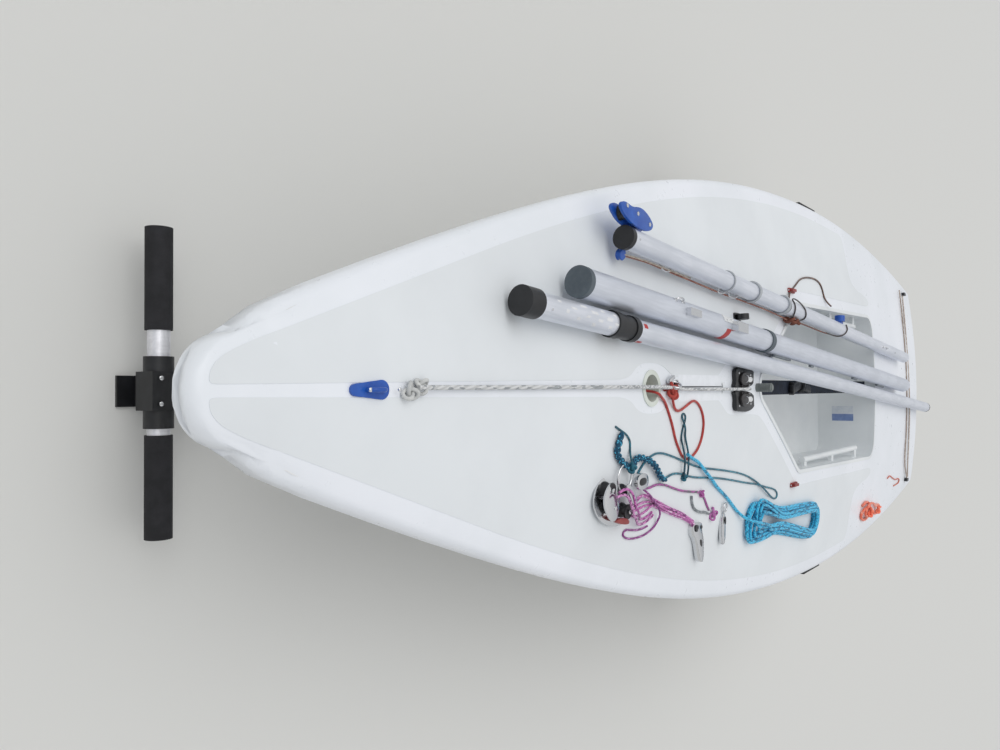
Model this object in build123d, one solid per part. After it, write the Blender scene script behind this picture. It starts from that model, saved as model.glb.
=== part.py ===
from build123d import *
import math
import os

# A 4.2 m single-handed dinghy, rig taken down and lying on the deck, parked on its launching dolly.
# Millimetres. The boat is drawn in its own frame: X forward with 0 at the bow tip, Y to port,
# Z up with 0 at the crown of the deck. It is then set bow down on the dolly, which is drawn from the
# floor up with X = 0 below the bow tip, and the whole is centred over the floor at the end.

os.makedirs("parts", exist_ok=True)

# How the boat stands
bow_down_deg = 4.57
deck_height_at_bow = 486.0
seat_gap = 0.3

# Hull and deck
length_overall = 4200.0
deck_thickness = 6.0
gunwale_depth = 46.0
gunwale_radius = 24.0
nose_radius = 24.0
stem_radius = 12.0

# Cockpit
cockpit_apex = 1840.0
cockpit_fore_corner = 2256.0
cockpit_aft_corner = 3262.0
cockpit_fore_half = 285.0
cockpit_aft_half = 306.0
cockpit_depth = 240.0
cockpit_rim_depth = 30.0
cockpit_apex_radius = 46.0
cockpit_corner_radius = 62.0
cockpit_taper_deg = 4.0
liner_wall = 5.0
lip_width = 13.0
lip_height = 3.0

# Daggerboard slot and mast step
slot_fore = 1284.0
slot_aft = 1590.0
slot_width = 38.0
slot_wall = 4.0
mast_place = 1170.0
mast_step_radius = 32.3
mast_step_wall = 4.5
mast_step_depth = 270.0
mast_flange = 7.0

# Transom
pintle_bore_radius = 4.9

# Spars
upper_mast_length = 3600.0
upper_mast_radius = 25.4
upper_plug_radius = 29.0
upper_plug_length = 42.0
collar_fore = 310.0
collar_length = 94.0
lower_mast_length = 2865.0
lower_mast_radius = 31.75
boom_length = 2740.0
boom_radius = 25.4
spar_wall = 2.0
mast_socket_depth = 330.0
cap_length = 14.0

# Launching dolly
wheel_radius = 200.0
tyre_width = 92.0
rim_radius = 104.0
axle_place = 2640.0
axle_radius = 22.5
axle_half = 706.0
wheel_middle = 762.0
hub_radius = 27.0
hub_half = 50.0
stub_radius = 12.5
wheel_play = 0.05
tongue_radius = 22.5
handle_place = 223.0
handle_height = 75.0
handle_radius = 19.0
handle_port = 251.0
handle_starboard = 280.0
grip_radius = 23.0
grip_length = 178.0
clamp_width = 67.0
foot_width = 55.0
foot_thickness = 6.0
cradle_place = 700.0
saddle_thickness = 8.0
upright_radius = 19.0
upright_gap = 7.0
pad_length = 190.0
pad_width = 44.0
pad_thickness = 28.0

# Sections at even steps from the bow to the transom: half beam, gunwale corner height, crown height,
# gunwale's overhang, bilge half width, bilge height, keel height, bilge radius, keel radius
sections = [
    (62.0, -26.0, -15.0, 14.0, 32.0, -112.0, -138.0, 14.0, 14.0),
    (238.0, -37.5, -2.3, 25.0, 156.0, -192.0, -289.0, 77.0, 140.0),
    (394.0, -44.0, 0.0, 30.0, 282.0, -218.0, -315.0, 109.0, 296.0),
    (521.0, -50.0, 0.0, 30.0, 397.0, -229.0, -326.0, 127.0, 445.0),
    (611.0, -55.5, 0.0, 30.0, 487.0, -236.0, -328.0, 132.0, 620.0),
    (666.0, -60.0, 0.0, 30.0, 550.0, -240.0, -325.0, 130.0, 800.0),
    (692.0, -63.5, 0.0, 30.0, 584.0, -242.0, -318.0, 123.0, 945.0),
    (690.0, -63.5, 0.0, 30.0, 590.0, -241.5, -307.0, 117.0, 1070.0),
    (658.0, -59.5, -1.0, 30.0, 569.0, -238.5, -292.0, 110.0, 1190.0),
    (600.0, -53.5, -3.5, 28.0, 526.0, -232.0, -272.0, 102.0, 1330.0),
    (518.0, -46.0, -8.0, 24.0, 462.0, -222.0, -250.0, 90.0, 1500.0),
]
station_step = length_overall / (len(sections) - 1)

boat_nodes = {}
dolly_nodes = {}


def station_plane(aft):
    return Plane(origin=(-aft, 0, 0), x_dir=(0, 1, 0), z_dir=(1, 0, 0))


def camber(half, corner, crown):
    # radius of the deck's camber and the height of its centre
    rise = crown - corner
    radius = (half * half + rise * rise) / (2 * rise)
    return radius, crown - radius


def section_at(aft):
    # the table's row at any distance aft, in a straight line between its neighbours
    place = min(aft / station_step, len(sections) - 1.001)
    before, after = sections[int(place)], sections[int(place) + 1]
    share = place - int(place)
    return [low + share * (high - low) for low, high in zip(before, after)]


def deck_height(aft, side=0.0):
    half, corner, crown = section_at(aft)[:3]
    radius, centre = camber(half, corner, crown)
    return centre + math.sqrt(radius * radius - side * side)


def deck_section(aft, row):
    half, corner, crown = row[:3]
    radius, centre = camber(half, corner, crown)
    inner = half - gunwale_radius
    edge_z = centre + math.sqrt((radius - gunwale_radius) ** 2 - inner * inner)
    lean = math.atan2(edge_z - centre, inner)
    touch = (radius * math.cos(lean), centre + radius * math.sin(lean))
    middle = (inner + gunwale_radius * math.cos(lean / 2), edge_z + gunwale_radius * math.sin(lean / 2))
    low = corner - gunwale_depth
    right_side = Line((half, edge_z), (half, low))
    left_side = Line((-half, low), (-half, edge_z))
    outline = (
        ThreePointArc((-touch[0], touch[1]), (0, crown), touch)
        + ThreePointArc(touch, middle, (half, edge_z))
        + right_side
        + Line((half, low), (-half, low))
        + left_side
        + ThreePointArc((-half, edge_z), (-middle[0], middle[1]), (-touch[0], touch[1]))
    )
    return station_plane(aft) * make_face(outline)


def hull_section(aft, row):
    half, corner, crown, overhang, bilge, bilge_z, keel_z, bilge_radius, keel_radius = row
    aft = max(aft, deck_thickness)
    radius, centre = camber(half, corner, crown)
    side = half - overhang
    top = centre + math.sqrt((radius - deck_thickness) ** 2 - side * side)
    corners = [(side, top), (bilge, bilge_z), (0, keel_z), (-bilge, bilge_z), (-side, top)]
    below = FilletPolyline(*corners, radius=[bilge_radius, keel_radius, bilge_radius])
    above = ThreePointArc((-side, top), (0, crown - deck_thickness), (side, top))
    return station_plane(aft) * make_face(below + above)


def cockpit_outline(margin=0.0):
    # seen from above, grown outwards by the margin
    points = [
        (-cockpit_apex, 0),
        (-cockpit_fore_corner, cockpit_fore_half),
        (-cockpit_aft_corner, cockpit_aft_half),
        (-cockpit_aft_corner, -cockpit_aft_half),
        (-cockpit_fore_corner, -cockpit_fore_half),
    ]
    radii = [cockpit_corner_radius] * 4 + [cockpit_apex_radius]
    face = make_face(FilletPolyline(*points[1:], points[0], radius=radii, close=True))
    return offset(face, margin) if margin else face


def cockpit_well(margin=0.0):
    # the well's space from above the deck down to its floor
    outline = Pos(0, 0, -cockpit_rim_depth) * cockpit_outline(margin)
    depth = cockpit_depth + margin - cockpit_rim_depth
    return extrude(outline, cockpit_rim_depth + 40) + extrude(outline, -depth, taper=cockpit_taper_deg)


def slot_shape(margin=0.0):
    length = slot_aft - slot_fore + 2 * margin
    face = Pos(-(slot_fore + slot_aft) / 2, 0, -450) * SlotOverall(length, slot_width + 2 * margin)
    return extrude(face, 500)


def upright_tube(x, y, low, high, radius):
    return Pos(x, y, (low + high) / 2) * Cylinder(radius, high - low)


def sloped_rod(start, end, radius):
    line = Line(start, end)
    return sweep(Plane(origin=start, z_dir=line % 0) * Circle(radius), path=line)


def make_hull():
    deck_form = loft([deck_section(i * station_step, row) for i, row in enumerate(sections)])
    deck_form = fillet(deck_form.faces().sort_by(Axis.X)[-1].edges(), nose_radius)
    hull_form = loft([hull_section(i * station_step, row) for i, row in enumerate(sections)])
    hull_form = fillet(hull_form.faces().sort_by(Axis.X)[-1].edges(), stem_radius)
    form = deck_form + hull_form
    mast_hole = upright_tube(-mast_place, 0, -mast_step_depth, 60, mast_step_radius + mast_step_wall)
    well = cockpit_well(liner_wall)
    slot = slot_shape(slot_wall)
    boat_nodes["hull"] = hull_form - mast_hole - well - slot
    boat_nodes["deck"] = deck_form - hull_form - mast_hole - well - slot
    return form


def raised_rim(form, face, height):
    # a flat rim that follows the camber of the deck
    ring = Pos(0, 0, -60) * extrude(face, 120)
    return (ring & (Pos(0, 0, height) * form)) - form


def make_linings(form):
    well = (cockpit_well(liner_wall) & form) - cockpit_well()
    lip = raised_rim(form, cockpit_outline(lip_width) - cockpit_outline(), lip_height)
    boat_nodes["cockpit_liner"] = well + lip
    case = (slot_shape(slot_wall) & form) - slot_shape()
    boat_nodes["daggerboard_case"] = case
    outer = mast_step_radius + mast_step_wall
    sleeve = upright_tube(-mast_place, 0, -mast_step_depth, 60, outer) & form
    flange = raised_rim(form, Pos(-mast_place, 0) * Circle(outer + mast_flange), lip_height)
    bore = upright_tube(-mast_place, 0, -mast_step_depth + mast_step_wall, 60, mast_step_radius)
    boat_nodes["mast_step"] = sleeve + flange - bore


def spar_frame(near, far, radius):
    # the spar's own frame: X from its near end aft along it, Z up, lying at deck level
    fore, fore_y = near
    aft, aft_y = far
    return Plane(origin=(-fore, fore_y, radius), x_dir=(fore - aft, aft_y - fore_y, 0), z_dir=(0, 0, 1))


def round_along(start, end, radius, bore=0.0):
    # a round piece along the spar's X
    piece = Pos((start + end) / 2, 0, 0) * Rot(0, 90, 0) * Cylinder(radius, end - start)
    if bore:
        piece = piece - Pos((start + end) / 2, 0, 0) * Rot(0, 90, 0) * Cylinder(bore, end - start + 2)
    return piece


def laid_on_deck(pieces, supports, seat_gap):
    # lowers a whole spar until its lowest point is just clear of what carries it
    drop = min(piece.distance_to(support) for piece in pieces.values() for support in supports) - seat_gap
    return {name: Pos(0, 0, -drop) * piece for name, piece in pieces.items()}


def make_upper_mast(supports):
    place = spar_frame((624.0, -160.0), (4207.0, 110.0), upper_mast_radius + 6)
    tube = round_along(upper_plug_length, upper_mast_length - cap_length, upper_mast_radius)
    collar_end = collar_fore + collar_length
    collar = round_along(collar_fore, collar_fore + 24, upper_plug_radius, upper_mast_radius)
    collar = collar + round_along(collar_end - 20, collar_end, upper_plug_radius, upper_mast_radius)
    collar = collar + round_along(collar_fore, collar_end, upper_mast_radius + 1.5, upper_mast_radius)
    pieces = {
        "upper_mast_tube": tube,
        "upper_mast_plug": round_along(0, upper_plug_length, upper_plug_radius),
        "upper_mast_collar": collar,
        "upper_mast_top": round_along(upper_mast_length - cap_length, upper_mast_length, upper_mast_radius),
    }
    return laid_on_deck({name: place * piece for name, piece in pieces.items()}, supports, seat_gap)


def make_lower_mast(supports):
    place = spar_frame((805.0, -212.0), (3664.0, -8.0), lower_mast_radius + 6)
    socket = round_along(lower_mast_length - mast_socket_depth, lower_mast_length + 1, lower_mast_radius - spar_wall)
    tube = round_along(cap_length, lower_mast_length, lower_mast_radius) - socket
    tang = Pos(451, 0, lower_mast_radius + 6) * Box(60, 18, 12) - tube
    gooseneck = Pos(730, 0, lower_mast_radius + 9) * Box(70, 26, 18) - tube
    pieces = {
        "lower_mast_tube": tube,
        "lower_mast_foot": round_along(0, cap_length, lower_mast_radius + 1),
        "vang_tang": tang - round_along(0, 1000, lower_mast_radius),
        "gooseneck": gooseneck - round_along(0, 1000, lower_mast_radius),
        "mast_ring": round_along(1000, 1026, lower_mast_radius + 3, lower_mast_radius),
    }
    return laid_on_deck({name: place * piece for name, piece in pieces.items()}, supports, seat_gap)


def make_boom(supports):
    place = spar_frame((1003.0, -331.0), (3737.0, -144.0), boom_radius + 6)
    tube = round_along(cap_length, boom_length, boom_radius)
    cheek = Pos(55, boom_radius + 8, 0) * Rot(90, 0, 0) * Cylinder(24, 16)
    cheek = cheek + Pos(100, boom_radius + 5, 0) * Box(60, 10, 30)
    cheek = cheek - round_along(-10, 400, boom_radius)
    block = Pos(1619, boom_radius + 14, 8) * Rot(90, 0, 0) * Cylinder(18, 22)
    block = block + Pos(1619, boom_radius, 8) * Box(30, 12, 16) - round_along(1400, 1800, boom_radius)
    pieces = {
        "boom_tube": tube,
        "boom_end": round_along(0, cap_length, boom_radius + 1.5),
        "boom_cheek_block": cheek,
        "boom_middle_block": block,
    }
    return laid_on_deck({name: place * piece for name, piece in pieces.items()}, supports, seat_gap)


def on_deck(aft, side):
    # a place on the deck, level across the camber
    half = 0.5
    slope = (deck_height(aft, abs(side) + half) - deck_height(aft, abs(side) - half)) if side else 0.0
    lean = math.degrees(math.atan(slope)) * (1 if side > 0 else -1)
    return Pos(-aft, side, deck_height(aft, side)) * Rot(lean, 0, 0)


def base_plate(length, width, height, sunk=12.0, radius=6.0):
    plate = extrude(RectangleRounded(length, width, radius), height + sunk)
    return Pos(0, 0, -sunk) * plate


def arch(span, wire_radius, height):
    # a hoop of wire along X, its feet at the origin's level
    half = span / 2
    path = FilletPolyline((-half, 0, -8), (-half, 0, height), (half, 0, height), (half, 0, -8), radius=half * 0.8)
    return sweep(Plane(origin=(-half, 0, -8), z_dir=(0, 0, 1)) * Circle(wire_radius), path=path)


def make_deck_gear(form):
    bow = on_deck(290, 0)
    teardrop = make_hull_of_circles(52, 9, 15)
    plate = Pos(0, 0, -12) * extrude(teardrop, 12 + 5)
    eye = bow * (plate + Pos(-12, 0, 4) * arch(30, 4, 14))
    boat_nodes["bow_eye"] = eye - form
    eye = on_deck(1236, 0) * (base_plate(34, 16, 4) + Pos(0, 0, 3) * arch(22, 3, 14))
    boat_nodes["mast_eye"] = eye - form - boat_nodes["mast_step"]
    boat_nodes["cleat_base"] = cleat_base() - form
    jaws = [Pos(-1770, side) * Circle(8.5) for side in (-37, -17, 17, 37)]
    top = deck_height(1745) + 5
    boat_nodes["cleat_jaws"] = Compound([Pos(0, 0, top) * extrude(jaw, 17) for jaw in jaws])
    post = Cylinder(13, 10, align=(Align.CENTER, Align.CENTER, Align.MIN))
    post = post + Pos(0, 0, 8) * spring_body()
    boat_nodes["sheet_post"] = Pos(-1846, 0, deck_height(1846) + 0.2) * post
    for name, side in (("port", 1), ("starboard", -1)):
        cleat = on_deck(2205, side * 330) * (base_plate(62, 16, 6) + Pos(0, 0, 6) * Box(40, 9, 18))
        boat_nodes["side_cleat_" + name] = cleat - form
        boat_nodes["grab_rail_" + name] = grab_rail(side)
    block = on_deck(1705, -204) * (base_plate(44, 26, 5) + Pos(0, 0, 20) * Rot(90, 0, 0) * Cylinder(18, 16))
    boat_nodes["deck_block"] = block - form
    fairleads = [on_deck(length_overall - 160, side * 486) * (base_plate(40, 16, 14) - Rot(0, 90, 0) * Cylinder(3, 60))
                 for side in (1, -1)]
    boat_nodes["traveller_fairleads"] = Compound([fairlead - form for fairlead in fairleads])


def make_hull_of_circles(gap, front_radius, rear_radius):
    # a teardrop outline: two circles and their outer tangents, the small one forward
    lean = math.asin((rear_radius - front_radius) / gap)
    front, rear = gap / 2, -gap / 2
    dx, dy = math.sin(lean), math.cos(lean)
    body = make_face(Polyline(
        (front + front_radius * dx, front_radius * dy),
        (rear + rear_radius * dx, rear_radius * dy),
        (rear + rear_radius * dx, -rear_radius * dy),
        (front + front_radius * dx, -front_radius * dy),
        close=True,
    ))
    return body + Pos(front, 0) * Circle(front_radius) + Pos(rear, 0) * Circle(rear_radius)


def cleat_base():
    corners = [(-1606, 0), (-1826, 57), (-1806, 0), (-1826, -57)]
    outline = make_face(FilletPolyline(*corners, radius=8, close=True))
    return Pos(0, 0, -12) * extrude(outline, deck_height(1700) + 12 + 5)


def spring_body():
    # a coil spring as rings stacked along its axis
    rings = [Pos(0, 0, 5 + 6 * turn) * Torus(10, 3.2) for turn in range(6)]
    return Cylinder(9, 40, align=(Align.CENTER, Align.CENTER, Align.MIN)) + rings


def grab_rail(side):
    y_rail = side * (cockpit_aft_half - 42)
    y_wall = side * (cockpit_aft_half - 12)
    height = -52
    path = Line((-2420, y_rail, height), (-3130, y_rail, height))
    rail = sweep(Plane(origin=(-2420, y_rail, height), z_dir=(-1, 0, 0)) * Circle(11), path=path)
    for aft in (2440, 2775, 3110):
        rail = rail + Pos(-aft, (y_rail + y_wall) / 2 + side * 10, height) * Box(26, 50, 14)
    return rail - boat_nodes["cockpit_liner"] - boat_nodes["hull"] - boat_nodes["deck"]


def make_transom_gear():
    gudgeons = []
    for height in (-70, -205):
        plate = Box(3, 56, 34, align=(Align.MAX, Align.CENTER, Align.CENTER))
        arm = Pos(-3, 0, 0) * Box(24, 18, 20, align=(Align.MAX, Align.CENTER, Align.CENTER))
        barrel = Pos(-27, 0, 0) * (Cylinder(9, 20) - Cylinder(pintle_bore_radius, 22))
        arm = arm - Pos(-27, 0, 0) * Cylinder(pintle_bore_radius, 22)
        gudgeons.append(Pos(-length_overall, 0, height) * (plate + arm + barrel))
    boat_nodes["rudder_gudgeons"] = Compound(gudgeons)
    plug = Rot(0, -90, 0) * (extrude(Circle(13), 4) + extrude(RectangleRounded(6, 20, 2.5), 12))
    boat_nodes["drain_plug"] = Pos(-length_overall, 60, -215) * plug


def make_strap():
    path = FilletPolyline((-1882, 0, -44), (-2100, 0, -80), (-2600, 0, -92), (-3100, 0, -70), (-3262, 0, -42), radius=400)
    section = Plane(origin=(-1882, 0, -44), x_dir=(0, 1, 0), z_dir=path % 0) * Rectangle(50, 4)
    boat_nodes["hiking_strap"] = sweep(section, path=path) - boat_nodes["cockpit_liner"]


def boat_place():
    return Pos(0, 0, deck_height_at_bow) * Rot(0, bow_down_deg, 0)


def make_tongue_and_axle():
    axle_x, handle_x = -axle_place, -handle_place
    ahead = (handle_x, 0, handle_height)
    behind = (axle_x, 0, wheel_radius)
    slope = Vector(*ahead) - Vector(*behind)
    way = slope.normalized()
    start = Vector(*behind) + way * (axle_radius)
    end = Vector(*ahead) - way * (handle_radius)
    tongue = sloped_rod(start, end, tongue_radius)
    axle = Pos(axle_x, 0, wheel_radius) * Rot(90, 0, 0) * Cylinder(axle_radius, 2 * axle_half)
    reach = wheel_middle + hub_half + 12
    axle = axle + Pos(axle_x, 0, wheel_radius) * Rot(90, 0, 0) * Cylinder(stub_radius, 2 * reach)
    handle_length = handle_port + handle_starboard
    middle = (handle_port - handle_starboard) / 2
    handle = Pos(handle_x, middle, handle_height) * Rot(90, 0, 0) * Cylinder(handle_radius, handle_length)
    dolly_nodes["dolly_tongue"] = tongue - axle - handle
    dolly_nodes["dolly_axle"] = axle
    dolly_nodes["handle_bar"] = handle
    centre = Pos(axle_x, 0, wheel_radius)
    clamp = centre * (Box(84, 96, 66) + Pos(60, 0, -3) * Box(80, 62, 60))
    dolly_nodes["axle_clamp"] = clamp - axle - tongue
    block = Pos(handle_x, 0, handle_height) * Box(54, clamp_width, 50)
    block = block + Pos(handle_x - 50, 0, handle_height + 3) * Box(60, 54, 52)
    for low, high in ((clamp_width / 2, clamp_width / 2 + 31), (-clamp_width / 2 - 26, -clamp_width / 2)):
        block = block + Pos(handle_x, (low + high) / 2, handle_height) * Rot(90, 0, 0) * Cylinder(25, high - low)
    dolly_nodes["handle_clamp"] = block - handle - tongue
    foot_top = handle_height - 25
    foot = Pos(handle_x, 0, foot_top / 2) * Box(foot_thickness, foot_width, foot_top)
    foot = foot + Pos(handle_x, 0, foot_thickness / 2) * Box(70, foot_width, foot_thickness)
    dolly_nodes["handle_foot"] = foot
    for name, low in (("port", handle_port + 3 - grip_length), ("starboard", -handle_starboard - 3)):
        shell = Pos(handle_x, low + grip_length / 2, handle_height) * Rot(90, 0, 0) * Cylinder(grip_radius, grip_length)
        dolly_nodes["grip_" + name] = shell - handle
    return tongue, axle


def tongue_height(x):
    share = (-x - handle_place) / (axle_place - handle_place)
    return handle_height + share * (wheel_radius - handle_height)


def make_supports(form, tongue, axle):
    # pads are drawn with the boat, so that they follow its tilt, and then set on the dolly
    place = boat_place()
    half, corner, crown, overhang = section_at(axle_place)[:4]
    upright_middle = half - overhang + upright_radius + upright_gap
    level = corner - gunwale_depth - pad_thickness
    bottom_up = (Align.CENTER, Align.CENTER, Align.MIN)
    for name, side in (("port", 1), ("starboard", -1)):
        seat = Pos(-axle_place, side * upright_middle, level)
        pad = seat * Box(pad_length, pad_width, pad_thickness + 20, align=bottom_up)
        dolly_nodes["gunwale_pad_" + name] = place * (pad - form)
        above = place * seat * Box(400, 120, 400, align=bottom_up)
        tube = upright_tube(-axle_place, side * upright_middle, wheel_radius, 620, upright_radius)
        foot = Pos(-axle_place, side * (upright_middle - 12), wheel_radius) * Box(70, 60, 70)
        dolly_nodes["upright_" + name] = tube + foot - axle - above
    keel = section_at(cradle_place)[6]
    pad_level = keel - 22
    pad = Pos(-cradle_place, 0, pad_level) * Box(120, 300, 80, align=bottom_up)
    dolly_nodes["bow_pad"] = place * (pad - form)
    saddle_place = place * Pos(-cradle_place, 0, pad_level - saddle_thickness)
    saddle = saddle_place * Box(130, 260, saddle_thickness, align=bottom_up)
    above = saddle_place * Box(400, 400, 400, align=bottom_up)
    x = -cradle_place - 26
    low = tongue_height(x)
    post = Pos(x, 0, low) * Box(60, 60, 140, align=bottom_up) - above
    post = post + Pos(x, 0, low) * Box(76, 64, 64)
    dolly_nodes["bow_bracket"] = (post + saddle) - tongue


def make_wheels():
    for name, side in (("port", 1), ("starboard", -1)):
        centre = Pos(-axle_place, side * wheel_middle, wheel_radius) * Rot(90, 0, 0)
        bore = stub_radius + wheel_play
        rim = Cylinder(rim_radius, 70) - Cylinder(rim_radius - 9, 72)
        web = Cylinder(rim_radius - 8, 12)
        hub = Cylinder(hub_radius, 2 * hub_half)
        wheel = rim + web + hub - Cylinder(bore, 2 * hub_half + 4)
        dolly_nodes["wheel_" + name] = centre * wheel
        half = tyre_width / 2
        profile = make_face(FilletPolyline(
            (rim_radius, -36), (rim_radius + 50, -half), (wheel_radius, -half + 14),
            (wheel_radius, half - 14), (rim_radius + 50, half), (rim_radius, 36), radius=16, close=False)
            + Line((rim_radius, 36), (rim_radius, -36)))
        tyre = revolve(Plane.XZ * profile, Axis.Z)
        dolly_nodes["tyre_" + name] = centre * tyre
    outer = wheel_middle + hub_half + 0.5
    caps = []
    for side in (1, -1):
        middle = side * (outer + 3)
        ring = Pos(-axle_place, middle, wheel_radius) * Rot(90, 0, 0) * (Cylinder(19, 6) - Cylinder(stub_radius, 8))
        caps.append(ring)
    dolly_nodes["wheel_washers"] = Compound(caps)


boat_form = make_hull()
make_linings(boat_form)
make_deck_gear(boat_form)
make_transom_gear()
make_strap()
lying_on = [boat_nodes["deck"], boat_nodes["cockpit_liner"]]
for make_spar in (make_upper_mast, make_lower_mast, make_boom):
    boat_nodes.update(make_spar(lying_on))

tongue_rod, axle_rod = make_tongue_and_axle()
make_supports(boat_form, tongue_rod, axle_rod)
make_wheels()

placed = {name: boat_place() * shape for name, shape in boat_nodes.items()}
placed.update(dolly_nodes)
whole = Compound(list(placed.values())).bounding_box()
centring = Pos(-(whole.min.X + whole.max.X) / 2, -(whole.min.Y + whole.max.Y) / 2, 0)
for name, shape in placed.items():
    export_step(centring * shape, "parts/" + name + ".step")
print("centred by", centring.position, "size", whole.size)
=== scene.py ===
import math
import random

import bmesh
import bpy
from mathutils import Matrix, Vector
from mathutils.bvhtree import BVHTree


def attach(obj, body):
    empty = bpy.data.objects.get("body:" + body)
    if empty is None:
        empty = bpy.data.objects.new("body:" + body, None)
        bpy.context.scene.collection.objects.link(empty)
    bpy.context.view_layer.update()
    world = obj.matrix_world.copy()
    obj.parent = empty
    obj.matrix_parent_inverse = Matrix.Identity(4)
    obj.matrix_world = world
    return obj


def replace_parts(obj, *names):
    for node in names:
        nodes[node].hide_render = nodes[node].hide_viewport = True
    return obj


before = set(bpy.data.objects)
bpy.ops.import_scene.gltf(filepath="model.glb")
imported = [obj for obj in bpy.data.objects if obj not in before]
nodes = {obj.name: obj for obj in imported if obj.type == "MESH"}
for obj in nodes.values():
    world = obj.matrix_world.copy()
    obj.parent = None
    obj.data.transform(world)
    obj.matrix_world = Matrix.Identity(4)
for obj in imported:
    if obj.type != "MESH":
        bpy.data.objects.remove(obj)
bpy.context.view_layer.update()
boat = "boat_on_dolly"
random.seed(4)
print("frame loaded:", len(nodes), "CAD nodes")


# Tools

def linear(hexColour):
    # an sRGB hex value as the linear colour that a shader takes
    channels = [int(hexColour[i:i + 2], 16) / 255 for i in (1, 3, 5)]
    return [c / 12.92 if c <= 0.04045 else ((c + 0.055) / 1.055) ** 2.4 for c in channels] + [1.0]


def addNode(owner, kind, settings=None, links=None):
    # a node with its values and the outputs that feed it; stops are the stops of a colour ramp
    node = owner.node_tree.nodes.new(kind)
    for key, value in (settings or {}).items():
        if key == "stops":
            while len(node.color_ramp.elements) < len(value):
                node.color_ramp.elements.new(0.5)
            for stop, (position, colour) in zip(node.color_ramp.elements, value):
                stop.position = position
                stop.color = colour if not isinstance(colour, str) else linear(colour)
        elif isinstance(key, int) or key in node.inputs:
            node.inputs[key].default_value = value
        else:
            setattr(node, key, value)
    for key, output in (links or {}).items():
        owner.node_tree.links.new(output, node.inputs[key])
    return node


def newMaterial(name, finish):
    # a material with its shader, its coordinates in metres and nothing else yet
    material = bpy.data.materials.new(name)
    material.use_nodes = True
    shader = material.node_tree.nodes["Principled BSDF"]
    for key, value in finish.items():
        shader.inputs[key].default_value = linear(value) if isinstance(value, str) else value
    coords = addNode(material, "ShaderNodeTexCoord")
    return material, shader, coords


def linkUp(material, shader, links):
    # feeds outputs into the material's shader
    for key, output in links.items():
        material.node_tree.links.new(output, shader.inputs[key])


def show(piece, material, body=boat):
    # gives a finished piece its material, slot and body
    piece.data.materials.clear()
    piece.data.materials.append(material)
    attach(piece, body)
    return piece


def placed(name, data):
    # an object at the origin with that mesh or curve
    piece = bpy.data.objects.new(name, data)
    bpy.context.scene.collection.objects.link(piece)
    return piece


def objectOf(name, shape, smooth):
    # a bmesh made an object; faces that meet at less than the angle shade smoothly
    mesh = bpy.data.meshes.new(name)
    shape.to_mesh(mesh)
    shape.free()
    mesh.shade_smooth()
    mesh.set_sharp_from_angle(angle=math.radians(smooth))
    return placed(name, mesh)


def meshPiece(name, shape, material, smooth=40, body=boat):
    # a bmesh made a finished piece
    bmesh.ops.remove_doubles(shape, verts=shape.verts, dist=0.00001)
    bmesh.ops.recalc_face_normals(shape, faces=shape.faces)
    return show(objectOf(name, shape, smooth), material, body)


def eased(value, low, high):
    # 0 up to low, 1 from high on, and an even change between them
    share = min(1.0, max(0.0, (value - low) / (high - low)))
    return share * share * (3 - 2 * share)


# The nose: a merged copy of the deck and of the hull, rounded in plan, stands for each

noseLook = {
    "front": 2.118, "tip": 2.106, "start": 1.975, "full": 2.1, "corner": 0.078, "widen": 0.24, "smooth": 28,
    "rakeStart": 1.72, "rise": 0.62, "sheerAt": 2.09, "sheerHeight": 0.4665, "sheerFall": 0.12,
    "setBack": {"deck": 0.0, "hull": 0.012},
}


def noseReach(y, tip):
    # how far forward a round-cornered nose reaches at y
    aside = min(abs(y), noseLook["corner"])
    return tip - noseLook["corner"] + math.sqrt(noseLook["corner"] ** 2 - aside ** 2)


def reshaped(name):
    # the copy has a rounded nose, and the hull's stem rakes up under the deck
    shape = bmesh.new()
    shape.from_mesh(nodes[name].data)
    bmesh.ops.remove_doubles(shape, verts=shape.verts, dist=0.00001)
    start, full = noseLook["start"], noseLook["full"]
    front, tip = (noseLook[end] - noseLook["setBack"][name] for end in ("front", "tip"))
    for vert in shape.verts:
        x, y, z = vert.co
        if name == "hull" and x > noseLook["rakeStart"]:
            sheer = noseLook["sheerHeight"] - noseLook["sheerFall"] * (x - noseLook["sheerAt"])
            vert.co.z = sheer + (z - sheer) * (1 - noseLook["rise"] * eased(x, noseLook["rakeStart"], full))
        if x > start:
            vert.co.y = y * (1 + noseLook["widen"] * eased(x, start, full))
            vert.co.x = start + (x - start) / (front - start) * (noseReach(vert.co.y, tip) - start)
    return objectOf(name + "RoundNose", shape, noseLook["smooth"])


noses = {name: reshaped(name) for name in ("deck", "hull")}


def treeOf(*names):
    # what a ray can hit: these pieces together
    points, faces = [], []
    for name in names:
        mesh = noses.get(name, nodes[name]).data
        first = len(points)
        points += [v.co.copy() for v in mesh.vertices]
        faces += [[first + i for i in face.vertices] for face in mesh.polygons]
    return BVHTree.FromPolygons(points, faces)


deckTree = treeOf("deck", "cockpit_liner", "hull", "mast_step", "cleat_base")
deckLook = {"holeAft": 0.545, "holeFore": 1.0, "holeHalf": 0.045, "beside": 0.05, "above": 2}


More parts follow.
